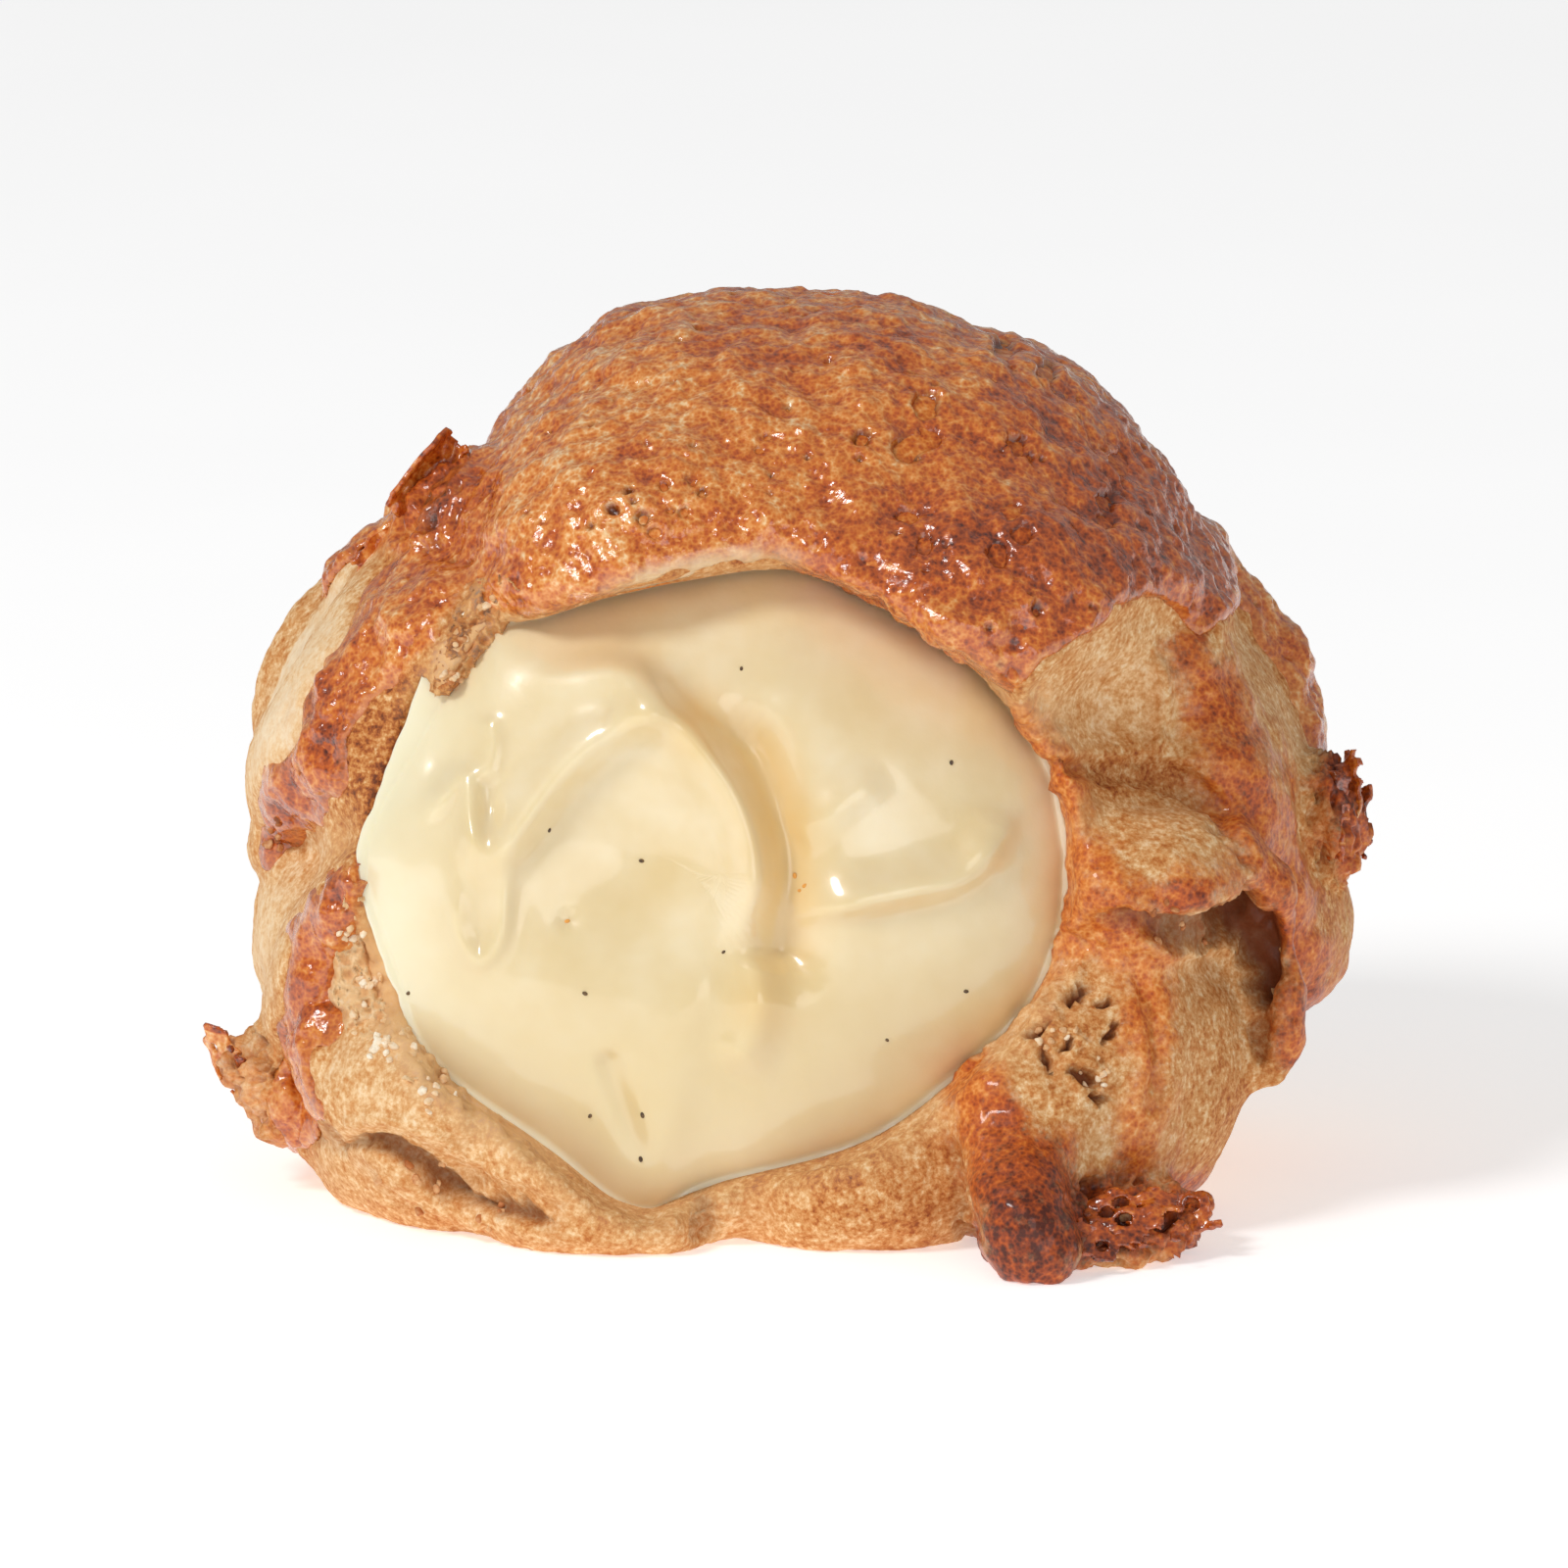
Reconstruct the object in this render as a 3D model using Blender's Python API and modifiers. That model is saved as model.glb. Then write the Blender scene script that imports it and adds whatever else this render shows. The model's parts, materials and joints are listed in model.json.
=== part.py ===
# Cream puff torn open at the front: a lobed choux shell under a baked crust, filled with custard.
# Tables are in millimetres and MM turns them into metres. The front is -Y.
# What shows at the front is placed in face coordinates: x across, s up the torn face and d out of it.
# The face leans back by FACE_LEAN, so s and d are the height and the forward reach turned by that angle.

import math
import random

import bmesh
import bpy
import numpy as np
from mathutils import Matrix, Vector, noise

MM = 0.001

# Driving dimensions of the whole puff
PUFF_WIDTH = 82.0
PUFF_DEPTH = 77.0
FACE_LEAN = math.radians(12)
TRAY_HEIGHT = 2.2
GAP = 0.3

# Lobes of the front and the sides: centre and radii
LOBES = {
    "core": ((1, 2, 29), (34.5, 33, 31)),
    "dome_left": ((-3.9, 1, 48.7), (18.9, 26, 17.8)),
    "dome_middle": ((2, 1, 45), (20, 27, 21.6)),
    "dome_right": ((6.5, 1, 42), (22.8, 27.5, 22.8)),
    "brow_left": ((-9, -7, 48), (12.6, 18, 13.5)),
    "cap_bulge": ((-8.5, -10, 49.5), (15, 15.6, 13)),
    "brow_right": ((9, -9, 46), (19, 20, 12)),
    "temple_right": ((23, 2, 41), (10.4, 20, 10)),
    "right_shoulder": ((25, 3, 31.5), (12.8, 22.5, 14.2)),
    "right_low": ((27, 4, 22), (13.2, 20, 12)),
    "right_front": ((19, -13, 13), (14, 16.5, 14)),
    "right_knuckle": ((25.5, -18, 28.5), (8.5, 9.5, 6.2)),
    "right_pitted": ((17.5, -19.5, 12), (9.5, 12, 12)),
    "left_shoulder": ((-25, 3, 34.5), (13.9, 23, 15)),
    "left_low": ((-26, 1, 20), (15, 22, 12.3)),
    "left_base": ((-22, -6, 7), (15.5, 20, 9.5)),
    "left_cheek": ((-26, -11.5, 30), (9.5, 13, 17)),
    "left_corner": ((-21.5, -12.2, 39.6), (9.6, 14, 10.8)),
    "rim_left": ((-26, -18, 13), (10, 12, 8.5)),
    "rim_middle": ((-14, -21.5, 8), (12, 11.5, 9)),
    "base_middle": ((5, -19.5, 7.5), (11, 12, 9.4)),
}

# Rings of lobes round the back: height, size, share of the height they keep, reach and count
BACK_RINGS = ((35.0, 15.5, 0.92, 1.0, 4), (20.5, 14.5, 0.85, 0.98, 5), (8.5, 13.0, 0.74, 0.88, 5))
BACK_SPREAD = (14.0, 170.0)
BACK_SEED = 4

# Crust that ran down and set, as seen on the face: height, then (x, s, half width) along each run
FACE_BANDS = {
    "left_run": (2.4, (
        (-24.5, 52, 3.4), (-27.8, 46.2, 4.4), (-33.4, 38.1, 3.7), (-37, 31.6, 3.2), (-39.6, 25.7, 1.8))),
    "left_second": (2.2, (
        (-31.8, 25, 1.8), (-35, 19.1, 3), (-36.6, 14, 2.8), (-38, 8.9, 2.4), (-38.4, 3.5, 1.4))),
    "middle_run": (1.1, (
        (19.5, 33, 2.2), (20.4, 24, 2.4), (24.5, 20.5, 2.6), (26.7, 12.6, 2.3), (26, 4.5, 2.4))),
    "right_run": (1.5, ((30.4, 40, 2.6), (31.5, 34.5, 2.8), (34.8, 27.2, 2.4), (36, 22.5, 2))),
    "toe_run": (1.0, ((12.4, 12, 2.6), (14.6, 6, 3.4), (16.2, 0, 3.6))),
}
BAND_ROUND = 0.6
BAND_FRONT = 6

# Runs at the sides and the back: azimuth in degrees, lowest height, half width
BACK_RUNS = ((14, 22, 3.4), (47, 12, 4.0), (78, 27, 3.2), (104, 7, 4.2), (139, 20, 3.6), (166, 13, 3.0))
BACK_RUN_HEIGHT = 1.9
BACK_RUN_SWAY = (1.6, 4.5)  # reach and size of the waves
BACK_RUN_TIP = (0.55, 10, 3)  # share of the width at the tip, and how far the taper and the round reach

# Lower edge of the crust cap, as (x, s) on the face, and its wave round the back. The cap's left end
# stands as a cliff over the run beside it.
CAP_EDGE = (
    (-45, 50), (-28, 54), (-24.4, 58), (-23.8, 50), (-23.2, 43.8), (-20, 42.8), (-12.5, 45), (-5, 47.2),
    (-1.5, 47.2), (4, 44.6), (9, 41.6), (16, 37.6), (21, 41.6), (26, 44.8), (30, 41.5), (33, 44), (45, 44),
)
CAP_HEIGHT = 2.2
CAP_STEP = 1.6
CAP_BACK_EDGE = 45.5
CAP_BACK_WAVES = ((3, 2.4, 0.4), (7, 1.6, 1.9), (11, 1.0, 0.8))
SIDE_BLEND = 12
AXIS_CLEAR = 12

# Hollows between the lobes of the front: x, s, radii and depth
DENTS = {
    "left_recess": (-29.2, 33.5, 2.6, 6.0, 2.0),
    "left_recess_foot": (-33.8, 26.5, 3.6, 2.6, 1.5),
    "upper_right": (24.3, 36.6, 5.2, 4.0, 2.4),
    "side_gap": (34.8, 18.4, 2.0, 2.8, 3.4),
}

# Creases between the lobes of the front: depth, then (x, s, half width) along each
CREASES = {
    "under_rim": (2.0, (
        (-33.5, 3.8, 0.8), (-29.5, 4.0, 1.4), (-25, 1.8, 1.6), (-20, -0.4, 1.4), (-15, -1.8, 0.7))),
    "under_knuckle": (1.6, ((22.5, 20.2, 0.8), (26, 19.6, 1.3), (30.5, 19.8, 1.4), (34, 21.2, 1.0))),
    "over_knuckle": (1.5, ((20.5, 32.4, 1.0), (25, 31.0, 1.5), (30, 30.6, 1.3), (33, 28.2, 0.8))),
    "base_gap": (1.8, ((-8.5, 4.5, 0.7), (-7.2, 1.4, 1.2), (-6.6, -1.8, 1.4))),
}

# Unevenness of the skin: size of the waves and their height
BROAD_WAVES = (13, 0.9)
FINE_WAVES = (5, 0.35)
CAP_WAVES = 0.2
CAP_RIPPLES = ((9, 9, 3.2), 0.45)

# Crust that stands clear of the puff: centre, radii and turns about X, Y and Z in degrees
FLAKES = {
    "flake_top_left": ((-25.8, -4, 51.5), (1.8, 6, 5), (0, 30, 15)),
    "flake_left": ((-40.2, -7, 10.5), (4.4, 5, 2.2), (0, 38, 30)),
    "flake_right": ((40.2, 1, 29), (2, 5, 4.2), (0, -14, -8)),
    "apron": ((22.5, -29, 4.4), (8.6, 6.4, 2.6), (10, -3, 10)),
    "apron_tip": ((29, -27.5, 4.8), (3, 2.6, 1.5), (0, -24, 20)),
}

# Runs of crust that stand clear: (x, y, z, radius) along each
STRIPS = {
    "hanging": ((34, -16, 26, 2.6), (35.6, -15, 21, 2.1), (36.3, -14.6, 16, 1.8), (35.9, -14.8, 12.4, 2)),
    "toe": ((15.6, -28.5, 10, 3.2), (16.4, -32, 7.5, 3.6), (17.2, -35.4, 5.4, 3.7), (17.6, -37.6, 4.1, 3.3)),
}

# Outline of the custard that shows, as (x, s) round FACE_CENTRE
FACE_CENTRE = (-5.5, 24.2)
FACE_OUTLINE = (
    (25.2, 1.5), (23.7, 8), (18.6, 15.3), (9.1, 21.2), (4, 22.6), (-6.9, 20.8), (-12.8, 19),
    (-17.9, 17.2), (-21.5, 10.9), (-25.2, 4.4), (-26.1, 0), (-23.8, -7.6), (-20.8, -13.9),
    (-12.8, -19.7), (-6.2, -24.6), (-0.8, -22.6), (9.9, -19.7), (16.4, -15.3), (22.3, -9.5), (24.8, -3.6),
)
FACE_DEPTH = 29.5
FACE_CROWN = 5.5
FACE_SLANT = 0.06
CROWN_POWER = 2.4
EDGE_DROP = 1.6
EDGE_POWER = 10
MARK_POWER = 6
RIM_RUN = 14.0
LIP_TUCK = 2.2
LIP_RISE = (0.15, 0.65)

# The opening torn in the shell, as shares along its cutter where they aren't sizes
RIM_CLEAR = 0.8
TEAR_FLARE = 0.10
TEAR_LIP = 0.8
TEAR_REACH = 52.0
TEAR_WALL = (0.55, 0.75)
TEAR_SINK = 1.5
TEAR_FLOOR = 25.5

# Spoon marks in the custard: path from FACE_CENTRE, height and half width
RIDGES = (
    (((-8.4, 15), (-3.2, 11.6), (1.8, 4.8), (4.2, -0.6), (0.6, -5.2), (-5, -7)), 2.4, 2.3),
    (((-5.5, 11), (-10, 8), (-14.4, 3.6), (-17.4, 0), (-18.6, -4), (-16.6, -6.2)), 1.8, 1.7),
    (((-1, 12.5), (4.2, 7), (8, 0), (7, -5)), -1.6, 2.2),
    (((-21, 8), (-18.6, 4.6)), -1.2, 1.5),
    (((2.6, -5), (2.6, -11)), 0.9, 1.8),
    (((-8.4, -13.9), (-6.2, -21)), -1.1, 2.2),
    (((11.3, 2.4), (19.5, 1.4)), 0.9, 2.0),
)
BOWL = ((-7.5, 2.0), (7.5, 6.5), -2.4)

# Custard inside the shell: centre and radii in world axes
FILL_CENTRE = (0, 3, 32.5)
FILL_RADII = (30.5, 27.5, 25.5)
FILL_START = 50
FACE_SHARE = 0.62
TURN_SHARE = 0.45
CUSTARD_SEGMENTS = 60
CUSTARD_RINGS = 34

VOXEL = 0.8
SOFTEN_ROUNDS = 4
SHELL_TRIANGLES = 8500
ROOM_SWELL = GAP * 1.1


def clear_scene():
    for old in list(bpy.data.objects):
        bpy.data.objects.remove(old, do_unlink=True)


def new_collection(name):
    group = bpy.data.collections.new(name)
    bpy.context.scene.collection.children.link(group)
    return group


def new_object(name, mesh, group):
    obj = bpy.data.objects.new(name, mesh)
    group.objects.link(obj)
    return obj


def principled(name, colour, roughness, coat):
    material = bpy.data.materials.new(name)
    material.use_nodes = True
    shader = material.node_tree.nodes["Principled BSDF"]
    shader.inputs["Base Color"].default_value = (*colour, 1)
    shader.inputs["Roughness"].default_value = roughness
    shader.inputs["Metallic"].default_value = 0
    shader.inputs["Coat Weight"].default_value = coat
    return material


def from_face(x, s, d):
    """World points in millimetres of places given in face coordinates."""
    lean_sin, lean_cos = math.sin(FACE_LEAN), math.cos(FACE_LEAN)
    return np.stack([x, s * lean_sin - d * lean_cos, s * lean_cos + d * lean_sin], axis=1)


def to_face(points):
    """Face coordinates of world points, both as arrays of rows in millimetres."""
    lean_sin, lean_cos = math.sin(FACE_LEAN), math.cos(FACE_LEAN)
    x, y, z = points.T
    return np.stack([x, z * lean_cos + y * lean_sin, z * lean_sin - y * lean_cos], axis=1)


def ease(value):
    """Smooth step from 0 to 1 over the same range."""
    value = np.clip(value, 0, 1)
    return value * value * (3 - 2 * value)


def spread_path(path, steps=6):
    """A smooth curve through the rows of a path, with steps points between each pair."""
    rows = np.array(path, float)
    ends = np.vstack([2 * rows[0] - rows[1], rows, 2 * rows[-1] - rows[-2]])
    curve = []
    for k in range(1, len(ends) - 2):
        a, b, c, d = ends[k - 1:k + 3]
        for t in np.arange(steps) / steps:
            curve.append(0.5 * (2 * b + (c - a) * t + (2 * a - 5 * b + 4 * c - d) * t ** 2
                                + (3 * b - a - 3 * c + d) * t ** 3))
    curve.append(rows[-1])
    return np.array(curve)


def path_distance(points, path):
    """Distance of each 2D point to a path, and where along the path it is nearest, from 0 to 1."""
    nearest = np.full(len(points), 1e9)
    where = np.zeros(len(points))
    for k in range(len(path) - 1):
        start, run = path[k], path[k + 1] - path[k]
        t = np.clip((points - start) @ run / max(run @ run, 1e-9), 0, 1)
        gap = np.linalg.norm(points - start - t[:, None] * run, axis=1)
        closer = gap < nearest
        nearest = np.where(closer, gap, nearest)
        where = np.where(closer, (k + t) / (len(path) - 1), where)
    return nearest, where


RIDGE_CURVES = [(spread_path(path), lift, half) for path, lift, half in RIDGES]
OUTLINE_CURVE = spread_path(FACE_OUTLINE + FACE_OUTLINE[:1])


def add_lobe(bm, centre, radii, turns=(0, 0, 0)):
    place = Matrix.Translation(Vector(centre) * MM)
    for angle, axis in zip(turns, "XYZ"):
        place = place @ Matrix.Rotation(math.radians(angle), 4, axis)
    place = place @ Matrix.Diagonal((*(r * MM for r in radii), 1))
    bmesh.ops.create_icosphere(bm, subdivisions=4, radius=1, matrix=place)


def add_back_lobes(bm):
    draw = random.Random(BACK_SEED)
    first, last = BACK_SPREAD
    for height, size, share, reach, count in BACK_RINGS:
        for k in range(count):
            azimuth = math.radians(first + (last - first) * (k + draw.uniform(0.3, 0.7)) / count)
            across = reach * PUFF_WIDTH / 2 - size * draw.uniform(0.98, 1.08)
            deep = reach * PUFF_DEPTH / 2 - size * draw.uniform(0.92, 1.05)
            centre = (across * math.cos(azimuth), deep * math.sin(azimuth), height + draw.uniform(-2, 2))
            add_lobe(bm, centre, (size, size, size * share))


def add_strip(bm, path):
    """A run of crust that stands clear, as overlapping beads along its path."""
    for x, y, z, radius in spread_path(path, 5):
        add_lobe(bm, (x, y, z), (radius, radius * 0.8, radius))


def puff_blank(group):
    """All lobes and flakes fused into one closed skin."""
    bm = bmesh.new()
    for centre, radii in LOBES.values():
        add_lobe(bm, centre, radii)
    for centre, radii, turns in FLAKES.values():
        add_lobe(bm, centre, radii, turns)
    for path in STRIPS.values():
        add_strip(bm, path)
    add_back_lobes(bm)
    mesh = bpy.data.meshes.new("choux_shell")
    bm.to_mesh(mesh)
    bm.free()
    return new_object("choux_shell", mesh, group)


def apply_modifiers(obj):
    """Replaces the object's mesh by what its modifiers make of it."""
    graph = bpy.context.evaluated_depsgraph_get()
    made = bpy.data.meshes.new_from_object(obj.evaluated_get(graph))
    old = obj.data
    obj.modifiers.clear()
    obj.data = made
    bpy.data.meshes.remove(old)


def fuse(obj):
    remesh = obj.modifiers.new("Fuse", "REMESH")
    remesh.mode = "VOXEL"
    remesh.voxel_size = VOXEL * MM
    soften = obj.modifiers.new("Soften", "SMOOTH")
    soften.factor = 0.5
    soften.iterations = SOFTEN_ROUNDS
    apply_modifiers(obj)


def cap_mask(points):
    """1 on the crust cap over the top and 0 below its ragged lower edge."""
    face = to_face(points)
    edge = np.array(CAP_EDGE, float)
    front = face[:, 1] - np.interp(points[:, 0], edge[:, 0], edge[:, 1])
    azimuth = np.arctan2(points[:, 1], points[:, 0])
    wave = sum(size * np.sin(turns * azimuth + start) for turns, size, start in CAP_BACK_WAVES)
    back = points[:, 2] - CAP_BACK_EDGE - wave * ease(points[:, 1] / SIDE_BLEND)
    above = np.where(points[:, 1] < 0, front, back)
    return ease(above / CAP_STEP + 0.5)


def ridge(gap, half):
    """A round-topped ridge: 1 at its middle and 0 from half its width outwards."""
    return np.clip(1 - (gap / half) ** 2, 0, 1) ** BAND_ROUND


def ridge_along(spots, path):
    """The ridge along a path of (x, s, half width) at each spot of the face."""
    curve = spread_path(path)
    gap, where = path_distance(spots, curve[:, :2])
    return ridge(gap, np.interp(where, np.linspace(0, 1, len(curve)), curve[:, 2]))


def band_relief(points):
    """Height of the crust that ran down, from its paths on the face and round the back."""
    spots = to_face(points)[:, :2]
    azimuth = np.degrees(np.arctan2(points[:, 1], points[:, 0]))
    radius = np.hypot(points[:, 0], points[:, 1])
    relief = np.zeros(len(points))
    for height, path in FACE_BANDS.values():
        relief = np.maximum(relief, height * ridge_along(spots, path) * (points[:, 1] < BAND_FRONT))
    sway, wave = BACK_RUN_SWAY
    tip, tip_length, tip_round = BACK_RUN_TIP
    for angle, low, half in BACK_RUNS:
        aside = np.abs(np.radians(azimuth - angle) * radius + sway * np.sin(points[:, 2] / wave + angle))
        taper = half * (tip + (1 - tip) * ease((points[:, 2] - low) / tip_length))
        inside = ease((points[:, 2] - low) / tip_round) * (points[:, 2] < CAP_BACK_EDGE + CAP_HEIGHT * 2)
        clear = radius > AXIS_CLEAR
        relief = np.maximum(relief, BACK_RUN_HEIGHT * ridge(aside, taper) * inside * clear)
    return relief


def hollows(points, normals):
    """Depth of the dents and creases between the lobes that face the front."""
    spots = to_face(points)[:, :2]
    depth = np.zeros(len(points))
    for x, s, wide, tall, deep in DENTS.values():
        share = ((spots[:, 0] - x) / wide) ** 2 + ((spots[:, 1] - s) / tall) ** 2
        depth = np.maximum(depth, deep * np.exp(-share))
    for deep, path in CREASES.values():
        depth = np.maximum(depth, deep * ridge_along(spots, path))
    return depth * ease(-normals[:, 1] * 2) * (points[:, 1] < 0)


def raise_crust(obj):
    """Lifts the cap and its runs off the choux and makes the whole skin uneven."""
    mesh = obj.data
    count = len(mesh.vertices)
    points = np.empty(count * 3, np.float32)
    normals = np.empty(count * 3, np.float32)
    mesh.vertices.foreach_get("co", points)
    mesh.vertices.foreach_get("normal", normals)
    points = points.reshape(-1, 3).astype(float) / MM
    normals = normals.reshape(-1, 3)
    cap = cap_mask(points)
    lift = np.maximum(cap * CAP_HEIGHT, band_relief(points)) - hollows(points, normals)
    broad_size, broad_height = BROAD_WAVES
    fine_size, fine_height = FINE_WAVES
    ripple_sizes, ripple_height = CAP_RIPPLES
    for k, point in enumerate(points):
        broad = noise.noise(Vector(point / broad_size))
        fine = noise.noise(Vector(-point / fine_size))
        ripple = noise.noise(Vector(point / ripple_sizes))
        lift[k] += broad_height * broad + (fine_height + CAP_WAVES * cap[k]) * fine
        lift[k] += ripple_height * cap[k] * ripple
    points += normals * lift[:, None]
    mesh.vertices.foreach_set("co", (points * MM).astype(np.float32).ravel())
    mesh.update()


def outline_radius(angles):
    """Reach of the custard's outline from FACE_CENTRE at each angle."""
    turn = np.arctan2(OUTLINE_CURVE[:, 1], OUTLINE_CURVE[:, 0])
    order = np.argsort(turn)
    reach = np.hypot(OUTLINE_CURVE[:, 0], OUTLINE_CURVE[:, 1])
    return np.interp(angles, turn[order], reach[order], period=2 * math.pi)


def lip_share(angles):
    """1 where the cap hangs over the custard, falling to 0 at the sides and below."""
    low, high = LIP_RISE
    return ease((np.sin(angles) - low) / (high - low))


def face_height(x, s):
    """Reach of the custard's front out of the face at x, s from FACE_CENTRE."""
    share = np.minimum(np.hypot(x, s) / outline_radius(np.arctan2(s, x)), 1)
    crown = FACE_CROWN * (1 - share ** CROWN_POWER) - EDGE_DROP * share ** EDGE_POWER
    height = FACE_DEPTH + FACE_SLANT * s + crown
    fade = 1 - share ** MARK_POWER
    for curve, lift, half in RIDGE_CURVES:
        gap, _ = path_distance(np.stack([x, s], axis=1), curve)
        height += fade * lift * np.exp(-(gap / half) ** 2)
    (bowl_x, bowl_s), (wide, tall), depth = BOWL
    spread = ((x - bowl_x) / wide) ** 2 + ((s - bowl_s) / tall) ** 2
    return height + fade * depth * np.exp(-spread)


def fill_points(polar, angles):
    """Points of the custard inside the shell, polar being 0 at the front and pi at the back."""
    (x, y, z), (wide, deep, tall) = FILL_CENTRE, FILL_RADII
    ring = np.sin(polar)
    return np.stack([x + wide * ring * np.cos(angles), y - deep * np.cos(polar),
                     z + tall * ring * np.sin(angles)], axis=1)


def custard_points(share, angles):
    """Points of the custard's skin, share being 0 at the middle of the face and 1 at the back."""
    reach = outline_radius(angles) + LIP_TUCK * lip_share(angles)
    reach = reach * np.minimum(share / FACE_SHARE, 1)
    inward = np.clip((share - FACE_SHARE) / (1 - FACE_SHARE), 0, 1)
    x, s = reach * np.cos(angles), reach * np.sin(angles)
    front = from_face(FACE_CENTRE[0] + x, FACE_CENTRE[1] + s, face_height(x, s) - RIM_RUN * inward)
    inside = fill_points(np.radians(FILL_START + (180 - FILL_START) * inward), angles)
    turned = ease(inward / TURN_SHARE)[:, None]
    return front * (1 - turned) + inside * turned


def tear_points(share, angles):
    """Points of the opening's cutter: a flared plug from inside the custard out past the crust."""
    lip = lip_share(angles)
    rim = outline_radius(angles) + RIM_CLEAR * (1 - lip)
    edge = face_height(rim * np.cos(angles), rim * np.sin(angles)) - TEAR_SINK
    outer, inner = TEAR_WALL
    out = np.clip((inner - share) / (inner - outer), 0, 1)
    flare = 1 + TEAR_FLARE * out * (1 - TEAR_LIP * lip)
    reach = rim * flare * np.minimum(share / outer, 1) * np.minimum((1 - share) / (1 - inner), 1)
    d = np.where(share > inner, TEAR_FLOOR, edge + (TEAR_REACH - edge) * out)
    return from_face(FACE_CENTRE[0] + reach * np.cos(angles), FACE_CENTRE[1] + reach * np.sin(angles), d)


def wrapped_sphere(name, group, place, swell=0.0):
    """A sphere whose points move to place(share, angle), grown by swell along its normals."""
    bm = bmesh.new()
    bmesh.ops.create_uvsphere(bm, u_segments=CUSTARD_SEGMENTS, v_segments=CUSTARD_RINGS, radius=1)
    spots = np.array([vert.co for vert in bm.verts])
    share = np.arccos(np.clip(spots[:, 2], -1, 1)) / math.pi
    for vert, spot in zip(bm.verts, place(share, np.arctan2(spots[:, 1], spots[:, 0]))):
        vert.co = spot
    bmesh.ops.triangulate(bm, faces=bm.faces)
    bmesh.ops.recalc_face_normals(bm, faces=bm.faces)
    bm.normal_update()
    grown = [vert.co + vert.normal * swell for vert in bm.verts]
    for vert, spot in zip(bm.verts, grown):
        vert.co = spot * MM
    mesh = bpy.data.meshes.new(name)
    bm.to_mesh(mesh)
    bm.free()
    return new_object(name, mesh, group)


def cutter(name, group, place, swell=0.0):
    made = wrapped_sphere(name, group, place, swell)
    made.hide_render = True
    made.display_type = "WIRE"
    return made


def cut_away(obj, tool, solver):
    cut = obj.modifiers.new("Cut " + tool.name, "BOOLEAN")
    cut.operation = "DIFFERENCE"
    cut.solver = solver
    cut.object = tool
    apply_modifiers(obj)


def flatten_base(obj):
    """Cuts the puff level at TRAY_HEIGHT, where it baked on its tray."""
    bm = bmesh.new()
    bm.from_mesh(obj.data)
    parts = bm.verts[:] + bm.edges[:] + bm.faces[:]
    tray = (0, 0, TRAY_HEIGHT * MM)
    bmesh.ops.bisect_plane(bm, geom=parts, plane_co=tray, plane_no=(0, 0, 1), clear_inner=True)
    rim = [edge for edge in bm.edges if edge.is_boundary]
    bmesh.ops.holes_fill(bm, edges=rim)
    bmesh.ops.triangulate(bm, faces=bm.faces)
    bm.to_mesh(obj.data)
    bm.free()


def keep_largest(obj):
    """Drops loose scraps that a cut leaves beside the shell."""
    bm = bmesh.new()
    bm.from_mesh(obj.data)
    left = set(bm.verts)
    islands = []
    while left:
        stack, island = [left.pop()], []
        while stack:
            vert = stack.pop()
            island.append(vert)
            for edge in vert.link_edges:
                other = edge.other_vert(vert)
                if other in left:
                    left.remove(other)
                    stack.append(other)
        islands.append(island)
    islands.sort(key=len)
    for island in islands[:-1]:
        bmesh.ops.delete(bm, geom=island, context="VERTS")
    bm.to_mesh(obj.data)
    bm.free()


def thin_out(obj, triangles):
    obj.data.calc_loop_triangles()
    thin = obj.modifiers.new("Thin", "DECIMATE")
    thin.ratio = triangles / len(obj.data.loop_triangles)
    thin.use_collapse_triangulate = True
    apply_modifiers(obj)


def centre_on_base(objects):
    """Moves the puff so that the middle of its base is the origin."""
    corners = np.vstack([np.array([vert.co for vert in obj.data.vertices]) for obj in objects])
    low, high = corners.min(axis=0), corners.max(axis=0)
    shift = Vector((-(low[0] + high[0]) / 2, -(low[1] + high[1]) / 2, -low[2]))
    for obj in objects:
        obj.data.transform(Matrix.Translation(shift))
    print("size in mm", np.round((high - low) / MM, 2), "moved by", [round(c / MM, 2) for c in shift])


def build_shell(parts, tools):
    shell = puff_blank(parts)
    fuse(shell)
    raise_crust(shell)
    cut_away(shell, cutter("tear", tools, tear_points), "MANIFOLD")
    fuse(shell)
    thin_out(shell, SHELL_TRIANGLES)
    flatten_base(shell)
    cut_away(shell, cutter("custard_room", tools, custard_points, ROOM_SWELL), "EXACT")
    keep_largest(shell)
    shell.data.materials.append(principled("baked choux", (0.50, 0.21, 0.07), 0.55, 0.1))
    shell.data.shade_smooth()
    return shell


def build_custard(parts):
    custard = wrapped_sphere("custard", parts, custard_points)
    custard.data.materials.append(principled("custard", (0.80, 0.66, 0.36), 0.32, 0.2))
    custard.data.shade_smooth()
    return custard


def main():
    clear_scene()
    parts = new_collection("cream puff")
    tools = new_collection("cutters")
    shell = build_shell(parts, tools)
    custard = build_custard(parts)
    centre_on_base([shell, custard])
    for tool in list(tools.objects):
        bpy.data.objects.remove(tool, do_unlink=True)


main()
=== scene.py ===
import json
import math
import random

import bmesh
import bpy
import numpy as np
from mathutils import Matrix, Vector, noise
from mathutils.bvhtree import BVHTree

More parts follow.
